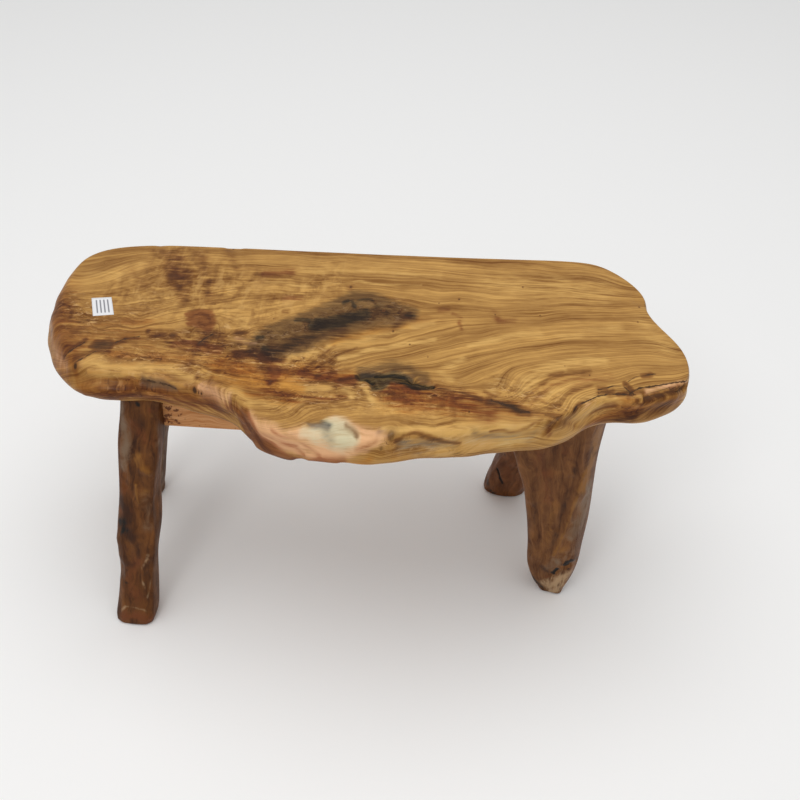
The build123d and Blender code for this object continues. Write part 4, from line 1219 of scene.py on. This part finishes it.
def leg_wood(name, base, light, deep):
    """The finish of a leg: streaks that run down it, a burr-like mottle, and the drawn patches over them."""
    wood = Finish(name)
    around, down, number = wood.split(wood.attribute("bark"))
    warp = wood.noise(wood.join(around / 30, down / 70, number), 3.0)
    around = around + (warp - 0.5) * 46.0

    def strands(length, width, seed, detail=2.0):
        seed = number * 10.0 + seed
        across = around / width
        return wood.noise(wood.join(across, down / length, seed), detail)

    broad, medium, fine = strands(90, 15, 0.0, 3.0), strands(60, 4.5, 3.0, 3.0), strands(26, 1.5, 6.0)
    tone = broad * 0.5 + medium * 0.32
    tone = tone + fine * 0.18
    spot = wood.scaled(wood.place(), (1000 / 22, 1000 / 22, 1000 / 34))
    mottle = wood.noise(spot, 5.0, 0.6, 1.0) - 0.5
    tone = tone + mottle * 0.42
    middle = tuple((a + b) / 2 for a, b in zip(base, light))
    colour = wood.ramp(tone, ((0.32, deep), (0.68, light), (0.45, base), (0.56, middle)))
    fray = medium * 0.35 + strands(24, 9.0, 8.0, 5.0) * 1.2
    fray = fray + mottle * 1.8 - 0.78
    masks = {}
    for group in leg_shade_groups:
        masks.update(zip(group.split("_"), wood.split(wood.attribute(group))))
    for patch, shade, low, high in (
        ("red", (0.150, 0.042, 0.010), 0.05, 1.05),
        ("gold", (0.250, 0.104, 0.020), 0.05, 1.05),
        # grey: painted sheen, where the facets catch the light
        ("grey", (0.190, 0.120, 0.072), 0.05, 1.10),
        ("dark", (0.040, 0.012, 0.003), 0.05, 0.95),
        ("pale", (0.420, 0.270, 0.145), 0.08, 0.85),
        ("black", (0.010, 0.007, 0.005), 0.20, 0.70),
    ):
        mask = masks[patch]
        part = wood.ease(mask, -0.05, 0.4) * fray
        colour = wood.blend(wood.ease(mask + part, low, high), colour, shade)
    wood.look({
        "Base Color": colour,
        "Roughness": wood.ease(tone, 0.3, 0.7, 0.58, 0.42),
        "Specular IOR Level": 0.14,
        "Coat Weight": 0.05,
        "Coat Roughness": 0.3,
    })
    wood.bump(medium * 0.6 + fine * 0.4, 0.0012)
    return wood


leg_colours = {
    "front_left_leg": ((0.098, 0.028, 0.004), (0.195, 0.068, 0.012), (0.030, 0.007, 0.001)),
    "rear_left_leg": ((0.120, 0.046, 0.013), (0.190, 0.092, 0.038), (0.050, 0.016, 0.004)),
    "front_right_leg": ((0.135, 0.045, 0.009), (0.240, 0.096, 0.026), (0.058, 0.016, 0.003)),
    "rear_right_leg": ((0.145, 0.046, 0.012), (0.240, 0.086, 0.025), (0.055, 0.015, 0.004)),
}
leg_facet_depth = 0.010
plain_ends = 12
for number, (name, (width, depth, section, levels, head, foot)) in enumerate(legs.items()):
    rings_of_leg, round_places = leg_points(width, depth, section, levels, head, foot)
    around = np.roll(rings_of_leg, -1, axis=1) - np.roll(rings_of_leg, 1, axis=1)
    square = np.cross(np.gradient(rings_of_leg, axis=0), around)
    square /= np.linalg.norm(square, axis=2)[:, :, None]
    points = rings_of_leg.reshape(-1, 3)
    lift = np.zeros(len(points))
    for height, radius, marks in leg_relief[name]:
        lift += height * np.exp(-((near_line_in_space(drawn_in_space(marks), points * 1000) / radius) ** 2))
    for length in (150, 95, 60, 42, 30, 21):
        heading = dice.normal(size=3) * (1, 1, 0.55)
        wave = np.sin(points @ (heading * 6283 / length) * facet_slant + dice.uniform(0, 6.28))
        lift += leg_facet_depth * length * wave
    from_ends = np.clip(np.minimum(points[:, 2], leg_height - points[:, 2]) * 1000 / plain_ends, 0, 1)
    shaped = points + square.reshape(-1, 3) * (lift * from_ends)[:, None] / 1000
    shaped = np.clip(shaped, box_low, box_high)
    count = len(rings_of_leg)
    last = np.arange(leg_columns) + (count - 1) * leg_columns
    faces = wrap_faces(count, leg_columns) + [list(range(leg_columns)), last[::-1].tolist()]
    leg = add_piece(name + "_wood", shaped, faces, leg_wood(name + "_finish", *leg_colours[name]))
    bark = np.column_stack([np.tile(round_places * 1000, count), points[:, 2] * 1000, np.full(len(points), number)])
    marks_on_leg = {}
    for group in leg_shade_groups:
        for shade in group.split("_"):
            marks_on_leg[shade] = np.full(len(points), no_patch)
            for strength, radius, marks in leg_patches[name].get(shade, ()):
                distance = near_line_in_space(drawn_in_space(marks), points * 1000)
                here = strength * (1 - distance / (2.2 * radius))
                marks_on_leg[shade] = np.maximum(marks_on_leg[shade], here)
        carry(leg, group, np.column_stack([marks_on_leg[shade] for shade in group.split("_")]))
    carry(leg, "bark", bark)
    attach(leg, "root")
    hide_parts(name)

# The rails: four straight battens of a pale softwood, sawn and lightly oiled, that tie the heads of the legs. They
# keep the CAD's own solids, with their eased lower edges and screw holes.
def rail_wood(name, lengthwise, burr_at):
    """The finish of a rail: growth rings cut by the saw, as streaks along its length, with burr in one place and a
    painted shadow, a dark band, where each end meets its leg."""
    wood = Finish(name + "_finish")
    place = wood.scaled(wood.place(), (1000.0, 1000.0, 1000.0))
    warp = wood.noise(wood.scaled(place, (1 / 45, 1 / 45, 1 / 30)), 2.0)
    x, y, z = wood.split(place)
    along, across = (x, y) if lengthwise == 0 else (y, x)
    across = across + z
    across = across + (warp - 0.5) * 26.0

    def streaks_of_rail(length, width, seed, detail=2.0):
        return wood.noise(wood.join(along / length, across / width, seed), detail)

    tone = streaks_of_rail(200, 9, 0.0) * 0.55 + streaks_of_rail(60, 2.2, 3.0) * 0.45
    colour = wood.ramp(tone, ((0.34, (0.38, 0.13, 0.03)), (0.66, (0.7, 0.37, 0.16)), (0.5, (0.56, 0.235, 0.075))))
    burr = wood.noise(wood.scaled(place, (1 / 7, 1 / 7, 1 / 6)), 3.0, 0.6)
    burr_zone = wood.ease(abs(along - burr_at), 6.0, 26.0, 0.15, 0.0)
    burr = wood.ease(burr + burr_zone, 0.65, 0.73)
    colour = wood.blend(burr * 0.85, colour, (0.085, 0.02, 0.01))
    ends = [1000 * corner[lengthwise] for corner in bpy.data.objects[name].bound_box]
    middle, half = (max(ends) + min(ends)) / 2, (max(ends) - min(ends)) / 2
    from_middle = abs(along - middle)
    # painted shadow: a dark band at each end, where the rail meets its leg
    colour = wood.blend(wood.ease(from_middle, half - 11.0, half - 8.5, 0.0, 0.85), colour, (0.020, 0.008, 0.004))
    wood.look({"Base Color": colour, "Roughness": wood.ease(tone, 0.3, 0.7, 0.62, 0.50), "Specular IOR Level": 0.15})
    wood.bump(tone, 0.0006)
    return wood


rails = (
    ("front_rail", 0, -264.0),
    ("rear_rail", 0, 90.0),
    ("left_cross_rail", 1, 30.0),
    ("right_cross_rail", 1, 20.0),
)
for name, lengthwise, burr_at in rails:
    bpy.data.objects[name].material_slots[0].material = rail_wood(name, lengthwise, burr_at).material

# The screws: six plain wood screws of zinc-plated steel, driven up through the rails into the plank, with their
# heads deep in the rails. They stay as CAD solids.
steel = Finish("screw_steel_finish")
turning = steel.noise(steel.scaled(steel.place(), (900.0, 900.0, 2600.0)), 3.0)
steel.look({
    "Base Color": steel.ramp(turning, ((0.3, (0.42, 0.41, 0.38)), (0.7, (0.66, 0.65, 0.60)))),
    "Roughness": steel.ease(turning, 0.3, 0.7, 0.30, 0.46),
    "Metallic": 1.0,
})
bpy.data.objects["slab_screws"].material_slots[0].material = steel.material

# The label: a small piece of white paper, about 30 by 46 mm, printed with four grey bands and stuck on the top
# near the left end.
label_corners = np.array(((-0.3835, 0.0062), (-0.3543, 0.0125), (-0.3704, 0.0555), (-0.3989, 0.0502)))
label_squares = 12
paper_thickness = 0.00016
u, v = np.meshgrid(np.linspace(0, 1, label_squares + 1), np.linspace(0, 1, label_squares + 1))
corner_shares = np.stack([(1 - u) * (1 - v), u * (1 - v), u * v, (1 - u) * v], axis=-1).reshape(-1, 4)
label_points = np.column_stack([corner_shares @ label_corners, np.full(u.size, seat_height)])
paper = Finish("plain_label_finish")
across_label, up_label, _ = paper.split(paper.attribute("label_place"))
fibres = paper.noise(paper.scaled(paper.place(), (2500.0, 2500.0, 2500.0)), 3.0)
white = paper.ramp(fibres, ((0.3, (0.74, 0.74, 0.76)), (0.7, (0.82, 0.82, 0.83))))
bands = paper.ease(paper.math("SINE", across_label * 34.0), 0.0, 0.7)
inside = paper.ease(across_label, 0.10, 0.18) * paper.ease(across_label, 0.82, 0.9, 1.0, 0.0)
inside = inside * paper.ease(up_label, 0.10, 0.18) * paper.ease(up_label, 0.84, 0.9, 1.0, 0.0)
paper.look({
    "Base Color": paper.blend(bands * inside * 0.85, white, (0.13, 0.13, 0.15)),
    "Roughness": 0.55,
})
label = add_piece("plain_label", label_points, sheet_faces(label_squares, label_squares, 0, True), paper)
sheet = label.modifiers.new("paper", "SOLIDIFY")
sheet.thickness = paper_thickness
sheet.offset = -1.0
carry(label, "label_place", np.column_stack([u.ravel(), v.ravel(), 0 * v.ravel()]))
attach(label, "root")

# The studio: a plain pale floor, a large soft lamp high above, a smaller one in front and to the left, and a
# dim even sky. None of them is part of the bench.
floor_reach = 12.0
floor_colour = (0.93, 0.93, 0.925)
floor_drop = 0.0005
floor_finish = Finish("studio_floor_finish")
floor_finish.look({"Base Color": floor_colour, "Roughness": 0.9, "Specular IOR Level": 0.1})
floor_corners = [(x * floor_reach, y * floor_reach, -floor_drop) for x, y in ((-1, -1), (1, -1), (1, 1), (-1, 1))]
floor = add_piece("studio_floor", floor_corners, [(0, 1, 2, 3)], floor_finish, smooth=False)

lamps = (
    ("top_lamp", (-0.1, -0.1, 4.5), 5.0, 92.0),
    ("front_lamp", (-0.7, -2.1, 2.7), 0.9, 13.0),
)
for name, place, across, power in lamps:
    lamp = bpy.data.lights.new(name, "AREA")
    lamp.shape = "DISK"
    lamp.size = across
    lamp.energy = power
    holder = bpy.data.objects.new(name, lamp)
    aim = np.array(place) - (0, 0, 0.35)
    turn = Vector(aim.tolist()).to_track_quat("Z", "Y").to_matrix().to_4x4()
    holder.matrix_world = Matrix.Translation(place) @ turn
    bpy.context.scene.collection.objects.link(holder)

sky = bpy.data.worlds.new("studio_sky")
sky.use_nodes = True
sky.node_tree.nodes["Background"].inputs["Color"].default_value = (1, 1, 1, 1)
sky.node_tree.nodes["Background"].inputs["Strength"].default_value = 0.55
bpy.context.scene.world = sky
bpy.context.scene.view_settings.view_transform = "Standard"
